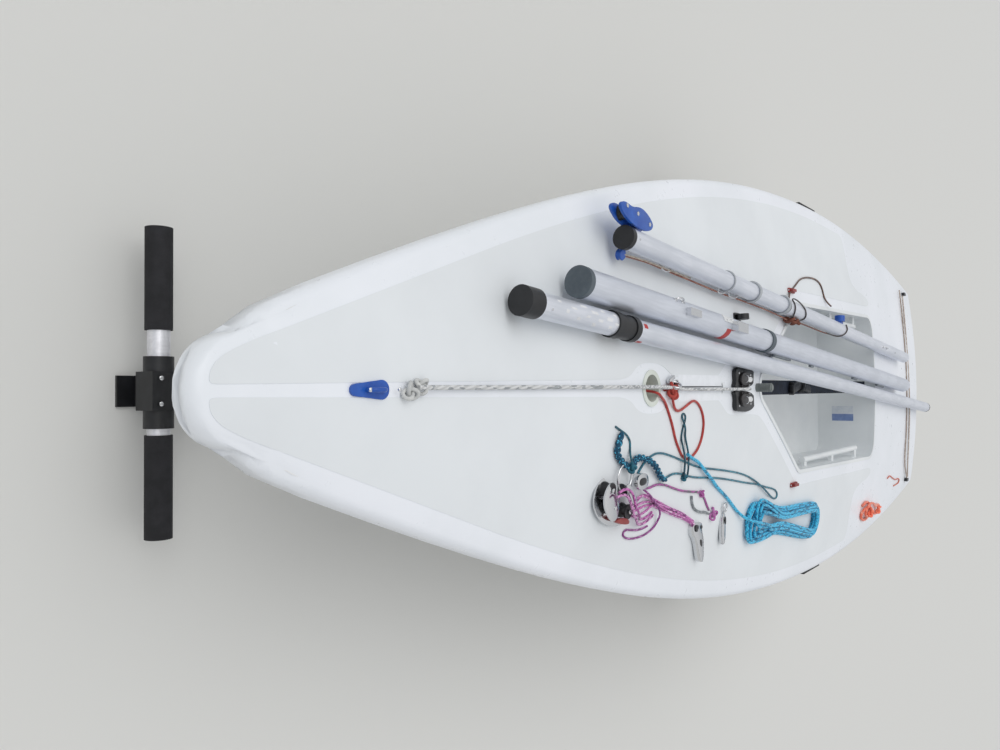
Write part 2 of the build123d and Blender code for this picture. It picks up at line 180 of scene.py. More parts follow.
def onDeck(x, y, lift=0.0):
    # the point above x, y that is lift above the deck or the cockpit's floor. Over the mast step and
    # the slot it is the deck beside them, and a ray that slips through a seam is cast again beside it
    overHole = deckLook["holeAft"] < x < deckLook["holeFore"] and abs(y) < deckLook["holeHalf"]
    near = math.copysign(deckLook["beside"], y) if overHole and y else deckLook["beside"] if overHole else y
    for aside in (0.0, 0.0007, -0.0009, 0.004, -0.004):
        hit = deckTree.ray_cast(Vector((x + aside, near + aside, deckLook["above"])), Vector((0, 0, -1)))[0]
        if hit:
            return Vector((x, y, hit.z + lift))
    raise ValueError("nothing under %.3f, %.3f" % (x, y))


def deckFrame(x, y, turn=0.0, lift=0.0):
    # a frame that stands on the deck there, its Z square to the deck, turned about it
    place = onDeck(x, y, lift)
    ahead = (onDeck(x + 0.02, y) - onDeck(x - 0.02, y)).normalized()
    toPort = (onDeck(x, y + 0.01) - onDeck(x, y - 0.01)).normalized()
    up = ahead.cross(toPort).normalized()
    across = up.cross(ahead)
    turned = Matrix((ahead, across, up)).transposed().to_4x4()
    return Matrix.Translation(place) @ turned @ Matrix.Rotation(math.radians(turn), 4, "Z")


def addBox(shape, size, place, bevel=0.0, segments=2):
    # a box with rounded edges in a bmesh
    made = bmesh.ops.create_cube(shape, size=1.0, matrix=place @ Matrix.Diagonal((*size, 1)))
    if bevel:
        edges = {edge for vert in made["verts"] for edge in vert.link_edges}
        bmesh.ops.bevel(shape, geom=list(edges), offset=bevel, offset_type="OFFSET", affect="EDGES",
                        segments=segments, profile=0.5, material=-1)


def addTurned(shape, profile, place, steps=24):
    # a profile of (radius, height) turned about the place's Z
    verts = [shape.verts.new((radius, 0, height)) for radius, height in profile]
    edges = [shape.edges.new(pair) for pair in zip(verts, verts[1:])]
    before = set(shape.verts) - set(verts)
    bmesh.ops.spin(shape, geom=verts + edges, cent=(0, 0, 0), axis=(0, 0, 1), angle=2 * math.pi,
                   steps=steps, use_merge=True, use_duplicate=False)
    bmesh.ops.transform(shape, matrix=place, verts=[v for v in shape.verts if v not in before])


def addScrew(shape, place, radius=0.004):
    # a plain pan head
    rise = radius * 0.55
    profile = [(0, rise), (radius * 0.6, rise * 0.95), (radius * 0.93, rise * 0.6), (radius, 0),
               (radius, -0.001)]
    addTurned(shape, profile, place, steps=20)


def ringAt(shape, middle, side, over, radius, sides, place=Matrix()):
    # a ring of vertices about a point, in the plane of two directions
    angles = [2 * math.pi * k / sides for k in range(sides)]
    ways = [math.cos(a) * side + math.sin(a) * over for a in angles]
    return [shape.verts.new(place @ (middle + radius * way)) for way in ways]


def joinRings(shape, rings, closed=False):
    # the skin between rings of vertices; a tube that isn't closed gets its two ends
    sides = len(rings[0])
    for ring, after in zip(rings, rings[1:] + (rings[:1] if closed else [])):
        for k in range(sides):
            shape.faces.new((ring[k], ring[(k + 1) % sides], after[(k + 1) % sides], after[k]))
    if not closed:
        shape.faces.new(rings[0][::-1])
        shape.faces.new(rings[-1])


def curveOf(name, points, diameter, round=4, fine=8):
    # a NURBS line with those control points and a round section
    curve = bpy.data.curves.new(name, "CURVE")
    curve.dimensions = "3D"
    spline = curve.splines.new("NURBS")
    spline.points.add(len(points) - 1)
    for point, place in zip(spline.points, points):
        point.co = (*place, 1)
    spline.order_u = 3
    spline.use_endpoint_u = True
    spline.resolution_u = fine
    curve.bevel_depth = diameter / 2
    curve.bevel_resolution = round
    curve.use_fill_caps = True
    return placed(name, curve)


def meshFrom(piece):
    # the mesh that a curve makes as it stands
    bpy.context.view_layer.update()
    return bpy.data.meshes.new_from_object(piece.evaluated_get(bpy.context.evaluated_depsgraph_get()))


def lineLength(piece):
    # the real length of a curve piece's own line
    depth = piece.data.bevel_depth
    piece.data.bevel_depth = 0
    mesh = meshFrom(piece)
    piece.data.bevel_depth = depth
    ends = [[mesh.vertices[i].co for i in edge.vertices] for edge in mesh.edges]
    length = sum((one - other).length for one, other in ends)
    bpy.data.meshes.remove(mesh)
    return length


# Camera, at the photograph's place and angle, on its side as the photograph is

cameraLook = {
    "place": (2.68106, 0.0, 1.32037),
    "right": (-0.56222, 0.00577, 0.82697),
    "up": (0.01168, -0.99982, 0.01492),
    "back": (0.82691, 0.01805, 0.56205),
    "lens": 28.07,
}
camera = placed("camera", bpy.data.cameras.new("camera"))
axes = Matrix([cameraLook["right"], cameraLook["up"], cameraLook["back"]]).transposed()
camera.matrix_world = Matrix.Translation(cameraLook["place"]) @ axes.to_4x4()
camera.data.lens = cameraLook["lens"]
camera.data.sensor_width = 36
camera.data.clip_start = 0.05
camera.data.clip_end = 400
bpy.context.scene.camera = camera
bpy.context.scene.view_settings.view_transform = "Standard"


# Materials: each is named for what it is made of and how

def dulled(material, pattern, roughness, start, less, more):
    # roughness that a pattern moves a little either way
    return addNode(material, "ShaderNodeMapRange", {
        "From Min": start, "From Max": 0.7, "To Min": roughness - less, "To Max": roughness + more,
    }, {"Value": pattern.outputs["Fac"]})


def gelcoat(name, colour, shade, roughness):
    # polyester gelcoat off a polished mould: glossy and even, dulled a little by weather and dirt
    material, shader, coords = newMaterial(name, {"Roughness": roughness, "IOR": 1.5})
    cloud = addNode(material, "ShaderNodeTexNoise", {"Scale": 2.6, "Detail": 5.0, "Roughness": 0.6},
                    {"Vector": coords.outputs["Object"]})
    dirt = addNode(material, "ShaderNodeValToRGB", {"stops": [(0.35, shade), (0.62, colour)]},
                   {"Fac": cloud.outputs["Fac"]})
    wipe = addNode(material, "ShaderNodeTexNoise", {"Scale": 30.0, "Detail": 6.0, "Roughness": 0.7},
                   {"Vector": coords.outputs["Object"]})
    dull = dulled(material, wipe, roughness, 0.3, 0.05, 0.12)
    linkUp(material, shader, {"Base Color": dirt.outputs["Color"], "Roughness": dull.outputs["Result"]})
    return material


def anodised(name, colour, shade, roughness, heading):
    # drawn and anodised aluminium tube: soft metal shine with fine streaks along the tube
    material, shader, coords = newMaterial(name, {"Metallic": 0.62, "Roughness": roughness})
    along = addNode(material, "ShaderNodeMapping", {"Rotation": (0, 0, math.radians(heading))},
                    {"Vector": coords.outputs["Object"]})
    stretch = addNode(material, "ShaderNodeMapping", {"Scale": (2.0, 160.0, 160.0)},
                      {"Vector": along.outputs["Vector"]})
    streak = addNode(material, "ShaderNodeTexNoise", {"Scale": 1.0, "Detail": 3.0},
                     {"Vector": stretch.outputs["Vector"]})
    cloud = addNode(material, "ShaderNodeTexNoise", {"Scale": 9.0, "Detail": 4.0},
                    {"Vector": coords.outputs["Object"]})
    both = addNode(material, "ShaderNodeMath", {"operation": "MULTIPLY"},
                   {0: streak.outputs["Fac"], 1: cloud.outputs["Fac"]})
    tint = addNode(material, "ShaderNodeValToRGB", {"stops": [(0.15, shade), (0.34, colour)]},
                   {"Fac": both.outputs["Value"]})
    dull = dulled(material, streak, roughness, 0.3, 0.02, 0.04)
    linkUp(material, shader, {"Base Color": tint.outputs["Color"], "Roughness": dull.outputs["Result"]})
    return material


def moulded(name, colour, shade, roughness, grain=900.0, bump=0.05):
    # injection-moulded plastic or rubber: one colour, a fine spark grain and paler worn patches
    material, shader, coords = newMaterial(name, {"Roughness": roughness})
    cloud = addNode(material, "ShaderNodeTexNoise", {"Scale": 35.0, "Detail": 6.0, "Roughness": 0.65},
                    {"Vector": coords.outputs["Object"]})
    tint = addNode(material, "ShaderNodeValToRGB", {"stops": [(0.4, colour), (0.75, shade)]},
                   {"Fac": cloud.outputs["Fac"]})
    speck = addNode(material, "ShaderNodeTexNoise", {"Scale": grain, "Detail": 2.0},
                    {"Vector": coords.outputs["Object"]})
    relief = addNode(material, "ShaderNodeBump", {"Strength": bump, "Distance": 0.0004},
                     {"Height": speck.outputs["Fac"]})
    linkUp(material, shader, {"Base Color": tint.outputs["Color"], "Normal": relief.outputs["Normal"]})
    return material


def steel(name, colour, roughness):
    # electropolished stainless wire and pressings: bright, with faint handling marks
    finish = {"Metallic": 1.0, "Roughness": roughness, "Base Color": colour}
    material, shader, coords = newMaterial(name, finish)
    mark = addNode(material, "ShaderNodeTexNoise", {"Scale": 260.0, "Detail": 4.0},
                   {"Vector": coords.outputs["Object"]})
    dull = dulled(material, mark, roughness, 0.35, 0.06, 0.12)
    linkUp(material, shader, {"Roughness": dull.outputs["Result"]})
    return material


def yarns(material, cell, colour, fleck, share):
    # the rope's colour, with that share of a cell pattern's patches in the fleck colour
    pick = addNode(material, "ShaderNodeSeparateColor", {}, {"Color": cell.outputs["Color"]})
    chosen = addNode(material, "ShaderNodeMath", {"operation": "LESS_THAN", 1: share},
                     {0: pick.outputs["Red"]})
    return addNode(material, "ShaderNodeMix", {"data_type": "RGBA", 6: linear(colour), 7: linear(fleck)},
                   {0: chosen.outputs["Value"]})


def braided(name, colour, fleck, share):
    # braided polyester: strands cross the rope both ways, and their turns are set once its length is known
    material, shader, coords = newMaterial(name, {"Roughness": 0.75, "Sheen Weight": 0.25})
    lay = addNode(material, "ShaderNodeMapping", {"Scale": (1.0, 6.0, 1.0)},
                  {"Vector": coords.outputs["UV"]})
    strands = {"wave_type": "BANDS", "bands_direction": "DIAGONAL", "Scale": 0.32, "Distortion": 0.0}
    oneWay = addNode(material, "ShaderNodeTexWave", strands, {"Vector": lay.outputs["Vector"]})
    cell = addNode(material, "ShaderNodeTexVoronoi", {"Scale": 1.0, "Randomness": 0.75},
                   {"Vector": lay.outputs["Vector"]})
    tint = yarns(material, cell, colour, fleck, share)
    lit = addNode(material, "ShaderNodeMapRange", {"To Min": 0.72, "To Max": 1.0},
                  {"Value": oneWay.outputs["Fac"]})
    shaded = addNode(material, "ShaderNodeMix", {"data_type": "RGBA", "blend_type": "MULTIPLY", 0: 1.0},
                     {6: tint.outputs[2], 7: lit.outputs["Result"]})
    relief = addNode(material, "ShaderNodeBump", {"Strength": 0.6, "Distance": 0.0008},
                     {"Height": oneWay.outputs["Fac"]})
    linkUp(material, shader, {"Base Color": shaded.outputs[2], "Normal": relief.outputs["Normal"]})
    return material


def flecked(name, colour, fleck, share, scale):
    # the same cover on a line that is made as a mesh
    material, shader, coords = newMaterial(name, {"Roughness": 0.8})
    cell = addNode(material, "ShaderNodeTexVoronoi", {"Scale": scale}, {"Vector": coords.outputs["Object"]})
    tint = yarns(material, cell, colour, fleck, share)
    relief = addNode(material, "ShaderNodeBump", {"Strength": 0.5, "Distance": 0.0006},
                     {"Height": cell.outputs["Distance"]})
    linkUp(material, shader, {"Base Color": tint.outputs[2], "Normal": relief.outputs["Normal"]})
    return material


hullGelcoat = gelcoat("gelcoat hull", "#EBECED", "#E1E3E4", 0.28)
deckGelcoat = gelcoat("gelcoat deck", "#F0F3F9", "#E9EDF2", 0.30)
linerGelcoat = gelcoat("gelcoat cockpit", "#EAEDEE", "#DEE2E4", 0.34)
nonSkidGelcoat = gelcoat("gelcoat non-skid", "#E6EAED", "#E0E4E7", 0.5)
upperMastFinish = anodised("anodised upper mast", "#E6E9F1", "#DADEE6", 0.40, 4.3)
lowerMastFinish = anodised("anodised lower mast", "#E1E5EE", "#D6DAE3", 0.38, 4.1)
boomFinish = anodised("anodised boom", "#E8EBF3", "#DCE0E8", 0.40, 3.9)
dollyAluminium = anodised("mill-finish dolly tube", "#EDEDF2", "#DEDEE3", 0.34, 0.0)
blackPlastic = moulded("moulded black nylon", "#131417", "#212226", 0.42)
blackRubber = moulded("moulded black rubber", "#1E1F21", "#303235", 0.75, 600.0, 0.2)
blackFoam = moulded("closed-cell foam grip", "#1B1B1E", "#28282C", 0.85, 420.0, 0.5)
blueNylon = moulded("moulded blue nylon", "#1C4FA8", "#2A62BE", 0.35)
slateNylon = moulded("moulded slate nylon", "#4A545C", "#5D676E", 0.5)
stepPlastic = moulded("moulded mast step", "#DBE0D8", "#CED4CB", 0.5)
postPlastic = moulded("moulded grey post", "#6B7170", "#7F8583", 0.5)
greyNylon = moulded("moulded grey nylon", "#6E757B", "#8A9197", 0.5)
camNylon = moulded("moulded cam", "#232022", "#34302F", 0.4)
slotLip = moulded("slot lip", "#EEF1F6", "#E4E8EC", 0.6)
wheelPlastic = moulded("moulded pale wheel", "#C9C9C4", "#B8B8B2", 0.5)
redPlastic = moulded("moulded red cleat", "#8A2E2C", "#A04643", 0.45)
stainless = steel("electropolished stainless", "#D6D7D9", 0.13)
tyreRubber = moulded("moulded tyre rubber", "#222223", "#333333", 0.8, 300.0, 0.3)
navyWebbing = moulded("woven navy webbing", "#18202E", "#263044", 0.8, 700.0, 0.6)
redTape = moulded("red vinyl tape", "#B8302F", "#A42927", 0.5)
# white vinyl tape on the lower mast, and the white of the painted highlight patches on the cam cleats
whiteTapeAndPaintedHighlight = moulded("white vinyl label and painted highlight", "#E4E5E6", "#D2D4D5", 0.4)
paleLabel = moulded("blank printed label", "#D9DDE2", "#C3CBD6", 0.35)
blueLabel = moulded("blank blue label", "#7F93BE", "#5C74AA", 0.35)
creamTape = moulded("cream tape", "#D8D4C6", "#C6C1B2", 0.55)
chippedLacquer = moulded("chipped lacquer", "#E9EAEC", "#CFD0D3", 0.5, 120.0, 0.3)
tealPlait = flecked("plaited teal line", "#0F4763", "#59BEE0", 0.16, 380.0)

finishes = (
    (hullGelcoat, "hull"),
    (deckGelcoat, "deck"),
    (linerGelcoat, "cockpit_liner daggerboard_case grab_rail_port grab_rail_starboard"),
    (stepPlastic, "mast_step"),
    (postPlastic, "sheet_post"),
    (blueNylon, "bow_eye boom_cheek_block boom_middle_block"),
    (stainless, "mast_eye vang_tang gooseneck rudder_gudgeons wheel_washers"),
    (blackPlastic, "handle_foot cleat_base cleat_jaws deck_block boom_end upper_mast_plug"),
    (blackPlastic, "upper_mast_collar upper_mast_top traveller_fairleads drain_plug"),
    (blackPlastic, "axle_clamp handle_clamp"),
    (redPlastic, "side_cleat_port side_cleat_starboard"),
    (navyWebbing, "hiking_strap"),
    (slateNylon, "lower_mast_foot mast_ring"),
    (dollyAluminium, "dolly_tongue dolly_axle handle_bar bow_bracket upright_port upright_starboard"),
    (blackFoam, "grip_port grip_starboard"),
    (blackRubber, "gunwale_pad_port gunwale_pad_starboard bow_pad"),
    (wheelPlastic, "wheel_port wheel_starboard"),
    (tyreRubber, "tyre_port tyre_starboard"),
    (upperMastFinish, "upper_mast_tube"),
    (lowerMastFinish, "lower_mast_tube"),
    (boomFinish, "boom_tube"),
)
nodeFinish = {nodeName: finish for finish, names in finishes for nodeName in names.split()}
for nodeName, piece in noses.items():
    show(piece, nodeFinish[nodeName])
    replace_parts(piece, nodeName)
for nodeName, node in nodes.items():
    node.data.materials.clear()
    node.data.materials.append(nodeFinish.get(nodeName, blackPlastic))
    if nodeName not in nodeFinish:
        print("no finish for", nodeName)
print("CAD nodes dressed")


# Non-skid panels, moulded into the deck either side of the centre strip

panelLook = {
    "thickness": 0.0009,
    "grid": 0.028,
    "portOutline": [
        (2.084, 0.01), (2.07, 0.008), (1.98, 0.01), (1.77, 0.012), (1.45, 0.015), (1.18, 0.018),
        (1.06, 0.02), (1.02, 0.055), (0.95, 0.062), (0.89, 0.055), (0.84, 0.026), (0.74, 0.026),
        (0.58, 0.026), (0.54, 0.05), (0.5, 0.078), (0.4, 0.078), (0.3, 0.08), (0.25, 0.088), (0.1, 0.19),
        (-0.07, 0.306), (-0.12, 0.336), (-0.2, 0.338), (-0.6, 0.346), (-1.0, 0.354), (-1.12, 0.358),
        (-1.13, 0.385), (-1.06, 0.405), (-0.95, 0.415), (-0.87, 0.445), (-0.85, 0.5), (-0.85, 0.58),
        (-0.84, 0.636), (-0.78, 0.64), (-0.39, 0.642), (0.03, 0.616), (0.447, 0.561), (0.865, 0.471),
        (1.284, 0.344), (1.703, 0.188), (1.95, 0.092), (2.04, 0.058), (2.076, 0.036),
    ],
}


def deckPanel(name, outline, material):
    # the outline as a filled flat curve, cut to a grid, laid on the deck and given its thickness
    curve = bpy.data.curves.new(name, "CURVE")
    curve.dimensions = "2D"
    curve.fill_mode = "BOTH"
    spline = curve.splines.new("NURBS")
    spline.points.add(len(outline) - 1)
    for point, (x, y) in zip(spline.points, outline):
        point.co = (x, y, 0, 1)
    spline.order_u = 3
    spline.use_cyclic_u = True
    spline.resolution_u = 5
    flat = placed(name, curve)
    mesh = meshFrom(flat)
    bpy.data.objects.remove(flat)
    shape = bmesh.new()
    shape.from_mesh(mesh)
    bmesh.ops.remove_doubles(shape, verts=shape.verts, dist=0.0001)
    bmesh.ops.dissolve_limit(shape, angle_limit=0.01, verts=shape.verts, edges=shape.edges)
    for axis, low, high in (((1, 0, 0), -1.2, 2.1), ((0, 1, 0), -0.66, 0.66)):
        place = low
        while place < high:
            bmesh.ops.bisect_plane(shape, geom=shape.verts[:] + shape.edges[:] + shape.faces[:],
                                   dist=0.00001, plane_co=Vector(axis) * place, plane_no=axis)
            place += panelLook["grid"]
    for vert in shape.verts:
        vert.co = onDeck(vert.co.x, vert.co.y, panelLook["thickness"])
    bmesh.ops.recalc_face_normals(shape, faces=shape.faces)
    if sum(face.normal.z for face in shape.faces) < 0:
        bmesh.ops.reverse_faces(shape, faces=shape.faces)
    bmesh.ops.solidify(shape, geom=shape.faces[:], thickness=panelLook["thickness"] * 1.6)
    return meshPiece(name, shape, material, smooth=30)


deckPanel("nonSkidPort", panelLook["portOutline"], nonSkidGelcoat)
deckPanel("nonSkidStarboard", [(x, -y) for x, y in panelLook["portOutline"]], nonSkidGelcoat)
print("deck panels laid")


# Loose ropes. Each row of a table is x, y and how far the line's middle lies above the deck, which is
# the table's rest where the row doesn't say it

ropeTables = {
    "redLine": {
        "diameter": 0.0065, "colour": "#B4342F", "fleck": "#C94A3F", "share": 0.25, "pitch": 0.012,
        "farEnd": "object",
        "rest": 0.0034, "points": [
            (0.948, 0.004, -0.045), (0.943, 0.006, -0.012), (0.935, 0.012, 0.01), (0.914, 0.024, 0.0075),
            (0.893, 0.031, 0.0036), (0.873, 0.058), (0.851, 0.091), (0.833, 0.127), (0.812, 0.152),
            (0.792, 0.172), (0.76, 0.184), (0.728, 0.176), (0.699, 0.16), (0.676, 0.13), (0.666, 0.088),
            (0.688, 0.05), (0.728, 0.029), (0.775, 0.046), (0.819, 0.06), (0.847, 0.049, 0.0045),
            (0.868, 0.024, 0.012),
        ],
    },
    "tealEnd": {
        "diameter": 0.005, "colour": "#1E5A6B", "fleck": "#2E8296", "share": 0.25, "pitch": 0.010,
        "farEnd": "bare",
        "rest": 0.0026, "points": [
            (1.07, 0.166, 0.018), (1.064, 0.157, 0.01), (1.055, 0.14), (1.056, 0.119), (1.073, 0.104),
            (1.092, 0.096), (1.108, 0.09), (1.122, 0.084),
        ],
    },
    "tealLine": {
        "diameter": 0.0055, "colour": "#1D6278", "fleck": "#3C93A8", "pitch": 0.011,
        "rest": 0.0028, "points": [
            (1.018, 0.2, 0.004), (1.0, 0.181), (0.958, 0.16), (0.914, 0.154), (0.845, 0.168),
            (0.765, 0.19), (0.68, 0.211), (0.596, 0.221), (0.5, 0.234), (0.404, 0.249), (0.324, 0.268),
            (0.246, 0.3, 0.009), (0.17, 0.336, 0.009), (0.124, 0.352), (0.09, 0.361), (0.074, 0.349),
            (0.09, 0.333), (0.128, 0.322), (0.18, 0.313), (0.263, 0.295), (0.345, 0.284), (0.46, 0.264),
            (0.573, 0.247), (0.652, 0.24), (0.737, 0.23), (0.8, 0.214), (0.85, 0.213),
            (0.884, 0.222, 0.005),
        ],
    },
    "darkLoop": {
        "diameter": 0.005, "colour": "#1B4454", "fleck": "#2F7488", "pitch": 0.010,
        "rest": 0.0026, "points": [
            (0.786, 0.222, 0.009), (0.79, 0.206, 0.0115), (0.791, 0.19, 0.0125), (0.794, 0.172, 0.0125),
            (0.799, 0.15, 0.009), (0.8, 0.125), (0.792, 0.102), (0.78, 0.086), (0.776, 0.072),
            (0.787, 0.063), (0.8, 0.07), (0.797, 0.086, 0.0078), (0.786, 0.101, 0.0078), (0.777, 0.124),
            (0.773, 0.15, 0.008), (0.772, 0.172, 0.0125), (0.772, 0.192, 0.0125), (0.77, 0.208, 0.0125),
            (0.768, 0.224, 0.0095),
        ],
    },
}


hankLook = {
    "fore": (0.342, 0.394), "along": (-0.9908, 0.1350), "across": (0.1350, 0.9908),
    "aftCentre": 0.622, "foreCentre": 0.064, "waist": 0.27,
    # each row is a turn: height, half width at the fore end, at the waist and at the aft end, and how
    # far its fore end lies aft and to port of the others
    "turns": [
        (0.0234, 0.054, 0.0241, 0.058, 0.000, -0.018), (0.0234, 0.044, 0.0148, 0.048, 0.022, -0.022),
        (0.0234, 0.034, 0.0055, 0.038, 0.040, -0.012), (0.0140, 0.031, 0.0055, 0.036, 0.052, 0.010),
        (0.0140, 0.041, 0.0148, 0.046, 0.034, 0.016), (0.0140, 0.051, 0.0241, 0.056, 0.012, 0.020),
        (0.0140, 0.060, 0.0334, 0.066, -0.004, 0.014), (0.0046, 0.062, 0.0430, 0.070, 0.0, 0.0),
        (0.0046, 0.052, 0.0334, 0.060, 0.004, 0.0), (0.0046, 0.042, 0.0241, 0.050, 0.006, 0.001),
        (0.0046, 0.0325, 0.0148, 0.040, 0.006, 0.001),
    ],
    # where the line comes in over the fore end: distance aft and to port in the hank's frame, and height
    "wayIn": [
        (-0.078, -0.027, 0.0052), (-0.045, -0.012, 0.011), (-0.015, 0.0, 0.024), (0.015, 0.004, 0.033),
        (0.055, 0.006, 0.034), (0.10, 0.010, 0.034), (0.15, 0.016, 0.033),
    ],
}


def hankPlace(along, across, lift):
    # a place in the hank's own frame as x, y and height over the deck
    x, y = (start + along * one + across * other for start, one, other in
            zip(hankLook["fore"], hankLook["along"], hankLook["across"]))
    return x, y, lift


def hankPoints():
    # the hank's turns as more points of the line that leads into it
    points = [hankPlace(*row) for row in hankLook["wayIn"]]
    rows = hankLook["turns"]
    foreCentre, aftCentre = hankLook["foreCentre"], hankLook["aftCentre"]
    waist = hankLook["waist"]
    stations = [("side", 0.17, 1), ("side", waist, 1), ("side", 0.36, 1), ("side", 0.50, 1)]
    stations += [("aft", turn, 1) for turn in (75, 45, 15, -15, -45, -75)]
    stations += [("side", 0.50, -1), ("side", 0.36, -1), ("side", waist, -1), ("side", 0.17, -1)]
    stations += [("fore", turn, 1) for turn in (-75, -45, -15, 15, 45, 75)]
    for row, after in zip(rows, rows[1:]):
        for order, (kind, value, side) in enumerate(stations):
            share = order / len(stations)
            now = [low + share * (high - low) for low, high in zip(row, after)]
            drop = min(1.0, max(0.0, (share - 0.78) / 0.22))
            lift = row[0] + drop * (after[0] - row[0])
            atFore, atWaist, atAft, back, over = now[1:]
            angle = math.radians(value)
            if kind == "aft":
                points.append(hankPlace(aftCentre + atAft * math.cos(angle), atAft * math.sin(angle), lift))
            elif kind == "fore":
                along = foreCentre + back - atFore * math.cos(angle)
                points.append(hankPlace(along, over + atFore * math.sin(angle), lift))
            elif value < waist:
                half = atWaist + 0.62 * (atFore - atWaist)
                points.append(hankPlace(value, side * half + 0.6 * over, lift))
            else:
                ease = max(0.0, (value - 0.30) / (aftCentre - 0.30))
                points.append(hankPlace(value, side * (atWaist + ease * (atAft - atWaist)), lift))
    return points


